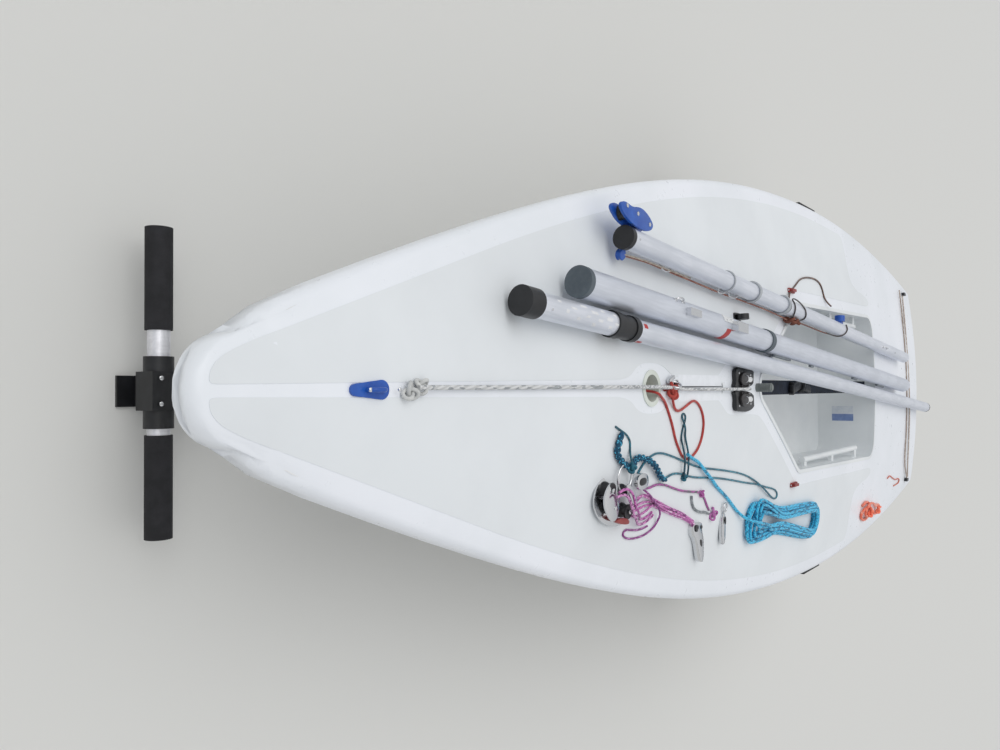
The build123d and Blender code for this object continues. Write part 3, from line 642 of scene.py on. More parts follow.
ropeTables.update({
    "cyanSheet": {
        "diameter": 0.009, "colour": "#3CC6F2", "fleck": "#177DA6", "share": 0.26, "pitch": 0.011,
        "farEnd": "bare",
        "rest": 0.011, "points": [
            (0.779, 0.168, 0.0125), (0.762, 0.176, 0.0125), (0.74, 0.184, 0.0125), (0.715, 0.191),
            (0.694, 0.202), (0.664, 0.221), (0.64, 0.234), (0.61, 0.25, 0.009), (0.56, 0.277, 0.0048),
            (0.502, 0.305, 0.0048), (0.466, 0.326, 0.0048)] + hankPoints(),
    },
    "magentaLegOne": {
        "diameter": 0.0055, "colour": "#D77BC4", "fleck": "#8E2F83", "share": 0.38, "pitch": 0.008,
        "farEnd": "object",
        "rest": 0.003, "points": [
            (1.046, 0.262, 0.014), (1.016, 0.262, 0.006), (0.99, 0.25), (0.962, 0.251), (0.938, 0.262),
            (0.89, 0.279), (0.842, 0.297), (0.79, 0.312), (0.744, 0.328, 0.004), (0.716, 0.348, 0.008),
        ],
    },
    "magentaLegTwo": {
        "diameter": 0.0055, "colour": "#DF93CF", "fleck": "#8E2F83", "share": 0.30, "pitch": 0.008,
        "farEnd": "object",
        "rest": 0.003, "points": [
            (1.05, 0.272, 0.012), (1.018, 0.272, 0.005), (0.972, 0.266), (0.938, 0.271), (0.892, 0.286),
            (0.842, 0.304), (0.79, 0.319), (0.74, 0.335, 0.004), (0.712, 0.352, 0.008),
        ],
    },
    "magentaLegThree": {
        "diameter": 0.0055, "colour": "#CF6DBB", "fleck": "#F1C9EA", "share": 0.24, "pitch": 0.008,
        "farEnd": "object",
        "rest": 0.003, "points": [
            (1.05, 0.281, 0.012), (1.016, 0.283, 0.004), (0.968, 0.276), (0.936, 0.279), (0.894, 0.293),
            (0.842, 0.311), (0.79, 0.326), (0.738, 0.342, 0.004), (0.708, 0.357, 0.008),
        ],
    },
    "magentaLegFour": {
        "diameter": 0.0055, "colour": "#D886C8", "fleck": "#7C2873", "share": 0.34, "pitch": 0.008,
        "farEnd": "object",
        "rest": 0.0088, "points": [
            (1.044, 0.29, 0.014), (1.02, 0.298, 0.005), (0.976, 0.291), (0.94, 0.275), (0.893, 0.283),
            (0.843, 0.3), (0.792, 0.316), (0.746, 0.331), (0.718, 0.346, 0.013),
        ],
    },
    "magentaLegFive": {
        "diameter": 0.0055, "colour": "#C862B2", "fleck": "#F0CBE9", "share": 0.22, "pitch": 0.008,
        "farEnd": "object",
        "rest": 0.0088, "points": [
            (1.04, 0.252, 0.017), (1.008, 0.246, 0.012), (0.972, 0.256), (0.938, 0.268), (0.893, 0.29),
            (0.843, 0.307), (0.792, 0.322), (0.742, 0.338), (0.712, 0.355, 0.0135),
        ],
    },
    "magentaTurnOne": {
        "diameter": 0.006, "colour": "#D77BC4", "fleck": "#8E2F83", "share": 0.35, "pitch": 0.008,
        "rest": 0.0032, "points": [
            (1.15, 0.224, 0.036), (1.128, 0.216, 0.037), (1.1, 0.226, 0.037), (1.082, 0.244, 0.036),
            (1.07, 0.265, 0.034), (1.04, 0.284, 0.03), (1.008, 0.3, 0.014), (0.984, 0.308),
            (0.95, 0.306), (0.93, 0.296),
        ],
    },
    "magentaTurnTwo": {
        "diameter": 0.006, "colour": "#E09AD2", "fleck": "#7C2873", "share": 0.30, "pitch": 0.008,
        "rest": 0.0032, "points": [
            (1.158, 0.233, 0.036), (1.134, 0.228, 0.037), (1.11, 0.238, 0.037), (1.093, 0.256, 0.036),
            (1.078, 0.277, 0.034), (1.048, 0.297, 0.028), (1.012, 0.314, 0.012), (0.98, 0.32),
            (0.948, 0.316), (0.922, 0.304),
        ],
    },
    "purpleLoop": {
        "diameter": 0.005, "colour": "#8C3B86", "fleck": "#C98BC4", "share": 0.25, "pitch": 0.008,
        "rest": 0.0026, "points": [
            (1.017, 0.223, 0.008), (0.996, 0.236, 0.013), (0.975, 0.248, 0.0155), (0.948, 0.266, 0.0155),
            (0.924, 0.284, 0.0155), (0.908, 0.302, 0.015), (0.902, 0.322, 0.006), (0.918, 0.34),
            (0.956, 0.349), (1.0, 0.35), (1.036, 0.345), (1.058, 0.333), (1.048, 0.322), (1.02, 0.327),
            (0.98, 0.333), (0.945, 0.328),
        ],
    },
    "purpleTail": {
        "diameter": 0.006, "colour": "#B65BA6", "fleck": "#5F6068", "share": 0.36, "pitch": 0.009,
        "rest": 0.0032, "points": [
            (0.998, 0.222, 0.01), (0.982, 0.232, 0.0034), (0.958, 0.237), (0.92, 0.231), (0.893, 0.234),
            (0.868, 0.238), (0.83, 0.249), (0.778, 0.262), (0.713, 0.271), (0.676, 0.275), (0.65, 0.288),
            (0.634, 0.302), (0.622, 0.316), (0.604, 0.332),
        ],
    },
    "greyRing": {
        "diameter": 0.007, "colour": "#7C8388", "fleck": "#A9AFB3", "pitch": 0.009,
        "stiffness": "medium",
        "rest": 0.0037, "points": [
            (0.722, 0.281), (0.718, 0.298), (0.704, 0.314), (0.682, 0.325), (0.654, 0.332),
            (0.63, 0.334), (0.606, 0.342),
        ],
    },
    "brownLoop": {
        "diameter": 0.006, "colour": "#5A4038", "fleck": "#8C6A58", "pitch": 0.009,
        "farEnd": "object",
        "rest": 0.0034, "points": [
            (-0.02, -0.3, 0.012), (-0.052, -0.32), (-0.122, -0.351), (-0.186, -0.383), (-0.27, -0.398),
            (-0.361, -0.402), (-0.415, -0.392), (-0.44, -0.368), (-0.448, -0.342),
            (-0.47, -0.322, 0.006), (-0.49, -0.309, 0.014),
        ],
    },
    "orangeLine": {
        "diameter": 0.005, "colour": "#D9532F", "fleck": "#E98A5E", "pitch": 0.008,
        "rest": 0.0028, "points": [
            (-1.47, 0.44), (-1.509, 0.427), (-1.57, 0.446), (-1.661, 0.466), (-1.72, 0.462),
            (-1.752, 0.474), (-1.735, 0.489), (-1.69, 0.49), (-1.632, 0.493),
        ],
    },
    "orangeHank": {
        "diameter": 0.011, "colour": "#FB7A5C", "fleck": "#FFA98F", "share": 0.35, "pitch": 0.016,
        "rest": 0.006, "points": [
            (-1.03, 0.52), (-1.07, 0.508), (-1.12, 0.512), (-1.165, 0.53), (-1.18, 0.56), (-1.15, 0.586),
            (-1.1, 0.592), (-1.05, 0.582), (-1.024, 0.56), (-1.04, 0.538, 0.01), (-1.085, 0.528, 0.0175),
            (-1.13, 0.534, 0.0175), (-1.155, 0.556, 0.0175), (-1.13, 0.576, 0.0175),
            (-1.085, 0.574, 0.0175), (-1.05, 0.556, 0.0175), (-1.062, 0.53, 0.0185),
            (-1.105, 0.516, 0.0185), (-1.16, 0.52, 0.0185), (-1.215, 0.54, 0.0185),
            (-1.27, 0.548, 0.008), (-1.32, 0.546), (-1.352, 0.556), (-1.345, 0.58), (-1.3, 0.59),
            (-1.25, 0.58),
        ],
    },
})

tautTables = {
    # lines that are made fast at both ends
    "bowLine": {
        "diameter": 0.0085, "colour": "#DCDDDD", "fleck": "#A5A9AC", "share": 0.30, "pitch": 0.011,
        "rest": 0.011, "points": [
            (1.742, -0.003, 0.014), (1.715, -0.003), (1.6, -0.003, 0.008), (1.45, -0.003, 0.0075),
            (1.3, -0.003, 0.0075), (1.15, -0.003, 0.0075), (1.05, -0.003, 0.0085), (0.99, -0.003),
            (0.918, -0.003, 0.0165), (0.88, -0.001, 0.0165), (0.8, 0.003), (0.7, 0.004, 0.009),
            (0.56, 0.004, 0.009), (0.5, 0.004, 0.014), (0.47, 0.004, 0.01), (0.375, 0.004, 0.01),
        ],
    },
    "travellerFore": {
        "diameter": 0.007, "colour": "#B3A297", "fleck": "#D3C8BE", "pitch": 0.009,
        "rest": 0.006, "points": [
            (-1.797, -0.498, 0.01), (-1.798, -0.42, 0.008), (-1.8, -0.1), (-1.801, 0.2), (-1.803, 0.376),
            (-1.85, 0.43, 0.007), (-1.905, 0.48, 0.01),
        ],
    },
    "travellerAft": {
        "diameter": 0.007, "colour": "#BFB0A5", "fleck": "#DDD3C9", "pitch": 0.009,
        "rest": 0.006, "points": [
            (-1.848, -0.473, 0.01), (-1.852, -0.35), (-1.862, 0.05), (-1.872, 0.3), (-1.88, 0.4, 0.008),
            (-1.9, 0.47, 0.012),
        ],
    },
}


ropeUsual = {"share": 0.3, "farEnd": "knot", "stiffness": "limp", "fine": 8, "round": 4}


def braidedLine(name, points, given):
    # a braided line through those points, its strands as far apart as the look's pitch says
    look = {**ropeUsual, **given}
    material = braided("braided " + name, look["colour"], look["fleck"], look["share"])
    rope = show(curveOf(name, points, look["diameter"], look["round"], look["fine"]), material)
    length = lineLength(rope)
    for mapping in (n for n in material.node_tree.nodes if n.type == "MAPPING"):
        mapping.inputs["Scale"].default_value[0] = length / look["pitch"]
    return rope, look, length


def routeOf(look):
    # a table's points over the deck
    return [onDeck(x, y, *(own or [look["rest"]])) for x, y, *own in look["points"]]


for ropeName, ropeLook in ropeTables.items():
    route = routeOf(ropeLook)
    rope, look, length = braidedLine(ropeName, route, ropeLook)
    print("rope", ropeName, round(length, 3), "m")
for ropeName, ropeLook in tautTables.items():
    braidedLine(ropeName, routeOf(ropeLook), ropeLook)


def alongTube(shape, middles, radius, sides, place=Matrix(), closed=False):
    # a tube whose middle runs through those points
    last = len(middles) - 1
    rings = []
    for order, middle in enumerate(middles):
        before = middles[order - 1 if closed or order else 0]
        after = middles[(order + 1) % len(middles) if closed else min(order + 1, last)]
        ahead = (after - before).normalized()
        side = Vector((0, 0, 1)).cross(ahead).normalized()
        rings.append(ringAt(shape, middle, side, ahead.cross(side), radius, sides, place))
    joinRings(shape, rings, closed)


# The teal line's plait: three strands about a route, each on a figure of eight as it goes

plaitLook = {
    "turn": 0.050, "swing": 0.0046, "rise": 0.0026, "strand": 0.0080, "width": 0.018, "step": 0.0016,
    "strands": 3, "narrow": 0.02, "startWidth": 0.35, "rest": 0.0085,
    "points": [
        (1.104, 0.098), (1.110, 0.112), (1.121, 0.131), (1.120, 0.146), (1.101, 0.161),
        (1.085, 0.172, 0.0115), (1.069, 0.178, 0.0125), (1.052, 0.168, 0.0125), (1.034, 0.160, 0.0095),
        (1.016, 0.158), (0.982, 0.168, 0.0130), (0.964, 0.176, 0.0140), (0.946, 0.187, 0.0140),
        (0.918, 0.211, 0.0110), (0.900, 0.219), (0.880, 0.224),
    ],
}


def plait(name, look, material):
    route = curveOf(name + "Route", routeOf(look), 0, fine=16)
    line = [v.co.copy() for v in meshFrom(route).vertices]
    bpy.data.objects.remove(route)
    shape = bmesh.new()
    up = Vector((0, 0, 1))
    reach = 0.0
    places = []
    for before, after in zip(line, line[1:]):
        gap = (after - before).length
        steps = max(1, int(gap / look["step"]))
        side = up.cross((after - before).normalized()).normalized()
        places += [(before.lerp(after, k / steps), side, reach + k / steps * gap) for k in range(steps)]
        reach += gap
    for strand in range(look["strands"]):
        middles = []
        for place, side, run in places:
            turn = 2 * math.pi * (run / look["turn"] + strand / look["strands"])
            swing = min(1.0, (reach - run) / look["narrow"], run / look["narrow"] + look["startWidth"])
            middles.append(place + side * look["swing"] * swing * math.sin(turn)
                           + up * look["rise"] * swing * math.sin(2 * turn))
        alongTube(shape, middles, look["strand"] / 2, 8)
    piece = meshPiece(name, shape, material, smooth=60)


plait("tealPlait", plaitLook, tealPlait)
print("ropes laid")


# What is fixed to the spars. Along is metres from the near end, turn is degrees from the top towards port

spars = {
    "upper": {"node": "upper_mast_tube", "start": 0.026, "radius": 0.0254},
    "lower": {"node": "lower_mast_tube", "start": 0.014, "radius": 0.03175},
    "boom": {"node": "boom_tube", "start": 0.014, "radius": 0.0254},
}
sparRough = Vector((-0.9943, 0.0712, 0.0795))
endDepth = 0.0018
for look in spars.values():
    # the spar's own line is between the middles of its two end faces
    points = [v.co for v in nodes[look["node"]].data.vertices]
    reach = [point.dot(sparRough) for point in points]
    near = [point for point, way in zip(points, reach) if way < min(reach) + endDepth]
    far = [point for point, way in zip(points, reach) if way > max(reach) - endDepth]
    near, far = (sum(end, Vector()) / len(end) for end in (near, far))
    look["ahead"] = (far - near).normalized()
    look["up"] = (Vector((0, 0, 1)) - look["ahead"] * look["ahead"].z).normalized()
    look["port"] = look["ahead"].cross(look["up"])
    look["zero"] = near - look["ahead"] * look["start"]


def onSpar(spar, along, turn, lift=0.0):
    # a frame on the tube's surface, its X aft along the spar and its Z outwards
    look = spars[spar]
    out = look["up"] * math.cos(math.radians(turn)) + look["port"] * math.sin(math.radians(turn))
    place = look["zero"] + look["ahead"] * along + out * (look["radius"] + lift)
    turned = Matrix((look["ahead"], out.cross(look["ahead"]), out)).transposed().to_4x4()
    return Matrix.Translation(place) @ turned


def overSpar(spar, along):
    # a frame with its Z along the spar, for what goes round the tube
    look = spars[spar]
    turned = Matrix((look["up"], look["ahead"].cross(look["up"]), look["ahead"])).transposed().to_4x4()
    return Matrix.Translation(look["zero"] + look["ahead"] * along) @ turned


def addPatch(shape, spar, start, end, low, high, thickness, ragged):
    # a sheet wrapped on the tube between two places along it and two turns
    around = max(3, int((high - low) / 7))
    rows = []
    for i in range(around + 1):
        turn = low + (high - low) * i / around
        shift = ragged * random.uniform(-1, 1)
        corners = ((start, -0.0003), (start, thickness), (end, thickness), (end, -0.0003))
        rows.append([shape.verts.new(onSpar(spar, place + shift, turn, lift).translation)
                     for place, lift in corners])
    for row, after in zip(rows, rows[1:]):
        for i in range(3):
            shape.faces.new((row[i], row[i + 1], after[i + 1], after[i]))
    if high - low < 360:
        shape.faces.new(rows[0][::-1])
        shape.faces.new(rows[-1])


def addRing(shape, place, radius, wire, steps=40, sides=10):
    # a round wire ring about the place's Z
    up = Vector((0, 0, 1))
    ways = [Vector((math.cos(a), math.sin(a), 0)) for a in (2 * math.pi * k / steps for k in range(steps))]
    joinRings(shape, [ringAt(shape, way * radius, way, up, wire, sides, place) for way in ways], True)


def addBow(shape, place, span, rise, wire, sides=8, steps=14):
    # a wire hoop along X that stands on the place, both feet in the surface
    across = Vector((0, 1, 0))
    rings = []
    for i in range(steps + 1):
        a = math.pi * i / steps
        middle = Vector((-math.cos(a) * span / 2, 0, math.sin(a) ** 0.6 * rise - 0.001))
        way = Vector((math.sin(a) * span / 2, 0, math.cos(a) * rise)).normalized()
        rings.append(ringAt(shape, middle, across.cross(way), across, wire, sides, place))
    joinRings(shape, rings)


# Tape, labels and worn lacquer: spar, start and end along it, low and high turn

chips = (
    # start, length, low turn and width of each chip
    (0.070, 0.012, -30, 10), (0.094, 0.010, 2, 16), (0.112, 0.020, -14, 9), (0.136, 0.012, 22, 14),
    (0.150, 0.022, -38, 12), (0.168, 0.012, 4, 12), (0.186, 0.024, -22, 14), (0.196, 0.012, 30, 18),
    (0.214, 0.018, 8, 12), (0.226, 0.016, -44, 16), (0.244, 0.022, -12, 18), (0.256, 0.014, 26, 14),
    (0.272, 0.016, -36, 12), (0.276, 0.014, 6, 12),
)
sparPatches = {
    "redTape": {
        "material": redTape, "slot": "black_plastic", "thickness": 0.0006, "ragged": 0.0012,
        "rows": [("upper", 0.404, 0.420, -32, -8), ("upper", 0.404, 0.424, 70, 92),
                 ("lower", 0.668, 0.696, 17, 100)],
    },
    "creamRim": {
        "material": creamTape, "slot": "black_plastic", "thickness": 0.0006, "ragged": 0.0,
        "rows": [("upper", 0.296, 0.310, -180, 180)],
    },
    "chippedBand": {
        "material": chippedLacquer, "slot": "spar_aluminium", "thickness": 0.0006, "ragged": 0.003,
        "rows": [("upper", start, start + length, turn, turn + wide)
                 for start, length, turn, wide in chips],
    },
    "blackTie": {
        "material": blackPlastic, "slot": "black_plastic", "thickness": 0.0006, "ragged": 0.0,
        "rows": [("boom", 1.012, 1.026, -180, 180)],
    },
    "whiteBand": {
        "material": whiteTapeAndPaintedHighlight, "slot": "spar_aluminium", "thickness": 0.0032, "ragged": 0.0,
        "rows": [("lower", 0.645, 0.712, -44, -12)],
    },
}
for name, look in sparPatches.items():
    shape = bmesh.new()
    for row in look["rows"]:
        addPatch(shape, *row, look["thickness"], look["ragged"])
    meshPiece(name, shape, look["material"], smooth=50)

# Steel on the spars: wire hoops with their feet, and screws

sparSteelLook = {
    "wire": 0.0022, "foot": (0.014, 0.010, 0.0016), "footOut": 0.002, "footLift": 0.0006,
    "screwRadius": 0.0028,
    # spar, along, turn, span and height of each hoop
    "hoops": (
        ("boom", 0.226, 112, 0.046, 0.011), ("boom", 0.556, 112, 0.046, 0.012),
        ("boom", 0.630, 108, 0.060, 0.011), ("boom", 2.250, 12, 0.060, 0.012),
        ("lower", 0.398, -42, 0.034, 0.011),
    ),
    # spar, along, turn and height over the tube of each screw
    "screws": (
        ("lower", 0.425, -42, 0.0003), ("lower", 0.660, -20, 0.0026), ("lower", 0.690, -28, 0.0026),
        ("upper", 0.052, 20, 0.0003), ("upper", 0.052, 140, 0.0003), ("upper", 0.052, -100, 0.0003),
        ("boom", 0.030, 5, 0.0003), ("boom", 0.030, 95, 0.0003), ("boom", 2.440, 20, 0.0026),
    ),
}
steelBits = bmesh.new()
for *place, span, rise in sparSteelLook["hoops"]:
    addBow(steelBits, onSpar(*place), span, rise, sparSteelLook["wire"])
    for side in (-1, 1):
        middle = (side * (span / 2 + sparSteelLook["footOut"]), 0, sparSteelLook["footLift"])
        addBox(steelBits, sparSteelLook["foot"], onSpar(*place) @ Matrix.Translation(middle), 0.0005, 1)
for place in sparSteelLook["screws"]:
    addScrew(steelBits, onSpar(*place), sparSteelLook["screwRadius"])
meshPiece("sparSteel", steelBits, stainless)


def addPlate(shape, outline, low, high, bevel=0.0012):
    # a flat plate with that outline, given as corners in x and y, between two heights
    before = set(shape.edges)
    rings = [[shape.verts.new((x, y, z)) for x, y in outline] for z in (low, high)]
    for i in range(len(outline)):
        shape.faces.new((rings[0][i - 1], rings[0][i], rings[1][i], rings[1][i - 1]))
    shape.faces.new(rings[0][::-1])
    shape.faces.new(rings[1])
    bmesh.ops.recalc_face_normals(shape, faces=shape.faces)
    bmesh.ops.bevel(shape, geom=[edge for edge in shape.edges if edge not in before], offset=bevel,
                    offset_type="OFFSET", affect="EDGES", segments=2, profile=0.5, material=-1)


def lobed(corners, steps=5):
    # the outline through those corners, rounded as a closed quadratic curve
    points = []
    for i, corner in enumerate(corners):
        before, after = Vector(corners[i - 1]), Vector(corners[(i + 1) % len(corners)])
        start, end = (before + Vector(corner)) / 2, (Vector(corner) + after) / 2
        for k in range(steps):
            t = k / steps
            points.append(tuple((1 - t) ** 2 * start + 2 * t * (1 - t) * Vector(corner) + t * t * end))
    return points


# Block on the boom: two lobed cheeks, the sheaves between them and the screws

cheekLook = {
    "outline": [
        (1.184, -0.384), (1.174, -0.398), (1.148, -0.400), (1.121, -0.394), (1.078, -0.403),
        (1.036, -0.393), (1.006, -0.374), (1.022, -0.358), (1.058, -0.352), (1.101, -0.355),
        (1.146, -0.362),
    ],
    "plates": [(0.605, 0.612), (0.582, 0.589)],
    "sheaves": [(1.140, -0.381), (1.062, -0.377)],
    # the radius and height of a sheave's corners
    "sheave": [(0.0, 0.606), (0.017, 0.606), (0.017, 0.602), (0.0145, 0.597), (0.017, 0.592),
               (0.017, 0.588), (0.0, 0.588)],
    "screws": [(1.150, -0.392), (1.096, -0.384), (1.032, -0.371)],
    "screwHeight": 0.6122, "screwRadius": 0.0052,
}
cheek, sheaves, cheekScrews = bmesh.new(), bmesh.new(), bmesh.new()
for low, high in cheekLook["plates"]:
    addPlate(cheek, lobed(cheekLook["outline"]), low, high)
for x, y in cheekLook["sheaves"]:
    addTurned(sheaves, cheekLook["sheave"], Matrix.Translation((x, y, 0)), 28)
for x, y in cheekLook["screws"]:
    addScrew(cheekScrews, Matrix.Translation((x, y, cheekLook["screwHeight"])), cheekLook["screwRadius"])
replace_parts(meshPiece("cheekPlates", cheek, blueNylon), "boom_cheek_block")
meshPiece("cheekSheaves", sheaves, blackPlastic)
meshPiece("cheekScrews", cheekScrews, stainless)


# Cam cleats: two lobed bases side by side, their jaws, the wire fairleads and white patches that are a
# painted highlight where light catches the gap between the cams.
# Outlines are x and the distance from the middle line, and heights are over the deck

cleatLook = {
    "middle": 0.005, "height": onDeck(0.42, 0.085).z,
    "base": [
        (0.494, 0.0035), (0.468, 0.0185), (0.477, 0.0605), (0.430, 0.0635), (0.372, 0.0665),
        (0.312, 0.0585), (0.274, 0.0365), (0.300, 0.0195), (0.350, 0.0045),
    ],
    "jaw": [(0.452, 0.012), (0.444, 0.046), (0.396, 0.052), (0.352, 0.048), (0.330, 0.030), (0.372, 0.013)],
    # the outline of the white patch on each cleat: a painted highlight, not a part
    "paintedHighlight": [(0.390, 0.022), (0.390, 0.034), (0.362, 0.038), (0.342, 0.030), (0.360, 0.020)],
    "teeth": 5, "firstTooth": (0.436, 0.012, 0.014), "toothPitch": 0.013, "tooth": (0.0035, 0.012, 0.006),
    "toothTurn": 24, "fairlead": (0.412, 0.031, 0.0175), "fairleadSpan": 0.020, "fairleadRise": 0.010,
    "wire": 0.0016, "screws": [(0.366, 0.042, 0.0182), (0.349, 0.012, 0.0102), (0.448, 0.047, 0.0102)],
    "screwRadius": 0.0036,
}
bases, jaws, wires, paintedHighlight = bmesh.new(), bmesh.new(), bmesh.new(), bmesh.new()


def cleatPlace(side, x, y, lift, turn=0):
    # a frame beside the middle line, at a height over the deck
    place = Matrix.Translation((x, cleatLook["middle"] + side * y, cleatLook["height"] + lift))
    return place @ Matrix.Rotation(math.radians(turn), 4, "Z")


def cleatPlate(shape, side, part, steps, low, high, bevel=0.0012):
    outline = lobed([(x, cleatLook["middle"] + side * y) for x, y in cleatLook[part]], steps)
    addPlate(shape, outline, cleatLook["height"] + low, cleatLook["height"] + high, bevel)


for side in (-1, 1):
    cleatPlate(bases, side, "base", 3, -0.002, 0.010)
    cleatPlate(jaws, side, "jaw", 4, 0.009, 0.018, 0.002)
    for k in range(cleatLook["teeth"]):
        x, y, lift = cleatLook["firstTooth"]
        place = cleatPlace(side, x - cleatLook["toothPitch"] * k, y, lift, side * cleatLook["toothTurn"])
        addBox(jaws, cleatLook["tooth"], place, 0.0006, 1)
    place = cleatPlace(side, *cleatLook["fairlead"], 90)
    addBow(wires, place, cleatLook["fairleadSpan"], cleatLook["fairleadRise"], cleatLook["wire"])
    for screw in cleatLook["screws"]:
        addScrew(wires, cleatPlace(side, *screw), cleatLook["screwRadius"])
    # a thin white patch on each cleat's top that is a painted highlight of the lit gap between the cams
    cleatPlate(paintedHighlight, side, "paintedHighlight", 4, 0.0175, 0.0195, 0.0005)
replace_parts(meshPiece("cleatLobes", bases, blackPlastic), "cleat_base")
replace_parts(meshPiece("cleatCams", jaws, camNylon), "cleat_jaws")
meshPiece("cleatWires", wires, stainless)
# the cleats' white patches: painted highlight
meshPiece("cleatPaintedHighlight", paintedHighlight, whiteTapeAndPaintedHighlight)


# Vang gear on the deck: the block with its cheeks, sheaves and becket, the key and the shackle at the
# line's end. Each plate has its low and high side over the deck, its bevel and its corners

vangLook = {
    "steel": [
        (0.0, 0.004, 0.0012, [(1.214, 0.240), (1.176, 0.192), (1.117, 0.192), (1.050, 0.226),
                              (1.032, 0.304), (1.103, 0.309), (1.176, 0.288)]),
        (0.024, 0.0275, 0.0012, [(1.206, 0.238), (1.172, 0.200), (1.128, 0.204), (1.118, 0.252),
                                 (1.140, 0.290), (1.174, 0.282)]),
        (0.024, 0.0275, 0.0012, [(1.108, 0.202), (1.060, 0.228), (1.046, 0.262), (1.092, 0.256)]),
        (0.002, 0.018, 0.0012, [(1.045, 0.196), (0.984, 0.194), (0.980, 0.232), (1.043, 0.234)]),
        (0.0, 0.016, 0.0012, [(0.722, 0.350), (0.650, 0.356), (0.654, 0.380), (0.640, 0.404),
                              (0.642, 0.462), (0.664, 0.466), (0.688, 0.404), (0.716, 0.384)]),
        (0.0, 0.012, 0.003, [(0.516, 0.352), (0.496, 0.350), (0.494, 0.392), (0.498, 0.438),
                             (0.520, 0.442), (0.524, 0.396)]),
    ],
    "dark": [
        (0.017, 0.0188, 0.0005, [(1.034, 0.206), (0.996, 0.205), (0.994, 0.222), (1.034, 0.224)]),
        (0.0155, 0.0168, 0.0004, [(0.712, 0.358), (0.690, 0.358), (0.690, 0.378), (0.708, 0.376)]),
        (0.0155, 0.0168, 0.0004, [(0.680, 0.362), (0.662, 0.364), (0.664, 0.374), (0.680, 0.372)]),
        (0.0155, 0.0168, 0.0004, [(0.674, 0.400), (0.654, 0.404), (0.652, 0.424), (0.668, 0.420)]),
        (0.0155, 0.0168, 0.0004, [(0.662, 0.434), (0.650, 0.436), (0.649, 0.452), (0.659, 0.452)]),
        (0.0115, 0.0128, 0.0004, [(0.512, 0.362), (0.501, 0.362), (0.500, 0.384), (0.512, 0.384)]),
    ],
    "red": [
        (0.018, 0.0285, 0.0012, [(1.152, 0.286), (1.108, 0.300), (1.072, 0.304), (1.078, 0.290),
                                 (1.118, 0.284)]),
    ],
    # x, y and radius of each sheave, with the pin on it
    "sheaves": [(1.158, 0.216, 0.016), (1.142, 0.256, 0.018), (1.086, 0.226, 0.014), (1.078, 0.272, 0.017)],
    "pinHeight": 0.0272, "pinRadius": 0.0052,
    # x, y, turn, height, radius and wire of each ring
    "rings": [(1.088, 0.198, 12, 0.012, 0.030, 0.0030), (0.506, 0.336, 0, 0.008, 0.012, 0.0026)],
}
vang = {kind: bmesh.new() for kind in ("steel", "dark", "red")}
for kind, shape in vang.items():
    for low, high, bevel, corners in vangLook[kind]:
        outline = lobed(corners)
        middle = sum((Vector(corner) for corner in outline), Vector((0, 0))) / len(outline)
        addPlate(shape, outline, onDeck(*middle).z + low, onDeck(*middle).z + high, bevel)
for x, y, radius in vangLook["sheaves"]:
    profile = [(0.0, 0.0245), (radius, 0.0245), (radius, 0.021), (radius - 0.003, 0.014), (radius, 0.007),
               (radius, 0.003), (0.0, 0.003)]
    addTurned(vang["dark"], profile, deckFrame(x, y), 28)
    pin = Matrix.Translation((0, 0, vangLook["pinHeight"]))
    addScrew(vang["steel"], deckFrame(x, y) @ pin, vangLook["pinRadius"])
for *place, radius, wire in vangLook["rings"]:
    addRing(vang["steel"], deckFrame(*place), radius, wire)
meshPiece("vangSteel", vang["steel"], stainless)
meshPiece("vangDark", vang["dark"], blackPlastic)
meshPiece("vangRed", vang["red"], redPlastic)


# Clips on the lower mast, the small block at the boom's near end and the rope rings round the boom

clipLook = {
    "turn": 96, "lift": 0.003, "width": 0.010, "height": 0.008,
    # distance along the mast and length of each
    "clips": ((1.180, 0.150), (1.475, 0.030), (2.020, 0.060), (2.430, 0.120)),
}
clipBits = bmesh.new()
for along, length in clipLook["clips"]:
    addBox(clipBits, (length, clipLook["width"], clipLook["height"]),
           onSpar("lower", along, clipLook["turn"], clipLook["lift"]), 0.002)
meshPiece("sparClips", clipBits, greyNylon)

smallBlockLook = {
    "place": ("boom", 0.022, 120, 0.012), "tilt": 70,
    "wheel": [(0, 0.007), (0.011, 0.007), (0.013, 0.005), (0.0105, 0.002), (0.0105, -0.002),
              (0.013, -0.005), (0.011, -0.007), (0, -0.007)],
    "body": (0.014, 0.008, 0.018), "bodyDown": 0.006,
}
blueBits = bmesh.new()
small = onSpar(*smallBlockLook["place"])
tilted = small @ Matrix.Rotation(math.radians(smallBlockLook["tilt"]), 4, "X")
addTurned(blueBits, smallBlockLook["wheel"], tilted)
lower = small @ Matrix.Translation((0, 0, -smallBlockLook["bodyDown"]))
addBox(blueBits, smallBlockLook["body"], lower, 0.002)
meshPiece("boomSmallBlock", blueBits, blueNylon)


def wornCord(name, colour, shade):
    return moulded("worn " + name + " cord", colour, shade, 0.85, 500.0, 0.5)


ringLook = {
    "inner": 0.0256,
    # distance along the boom, tilt in degrees and half thickness of each
    "rings": ((0.560, 4, 0.0022), (0.745, 3, 0.0034), (0.752, -4, 0.0030), (0.998, -5, 0.0036),
              (1.006, 4, 0.0030)),
}
rings = bmesh.new()
for along, tilt, wire in ringLook["rings"]:
    tilted = overSpar("boom", along) @ Matrix.Rotation(math.radians(tilt), 4, "X")
    addRing(rings, tilted, ringLook["inner"] + wire, wire)
meshPiece("boomRopeRings", rings, wornCord("pale", "#B9BDC1", "#9DA2A7"))


# Lines made fast to the boom. Each row is metres along it, degrees from the top towards port and
# height over the tube

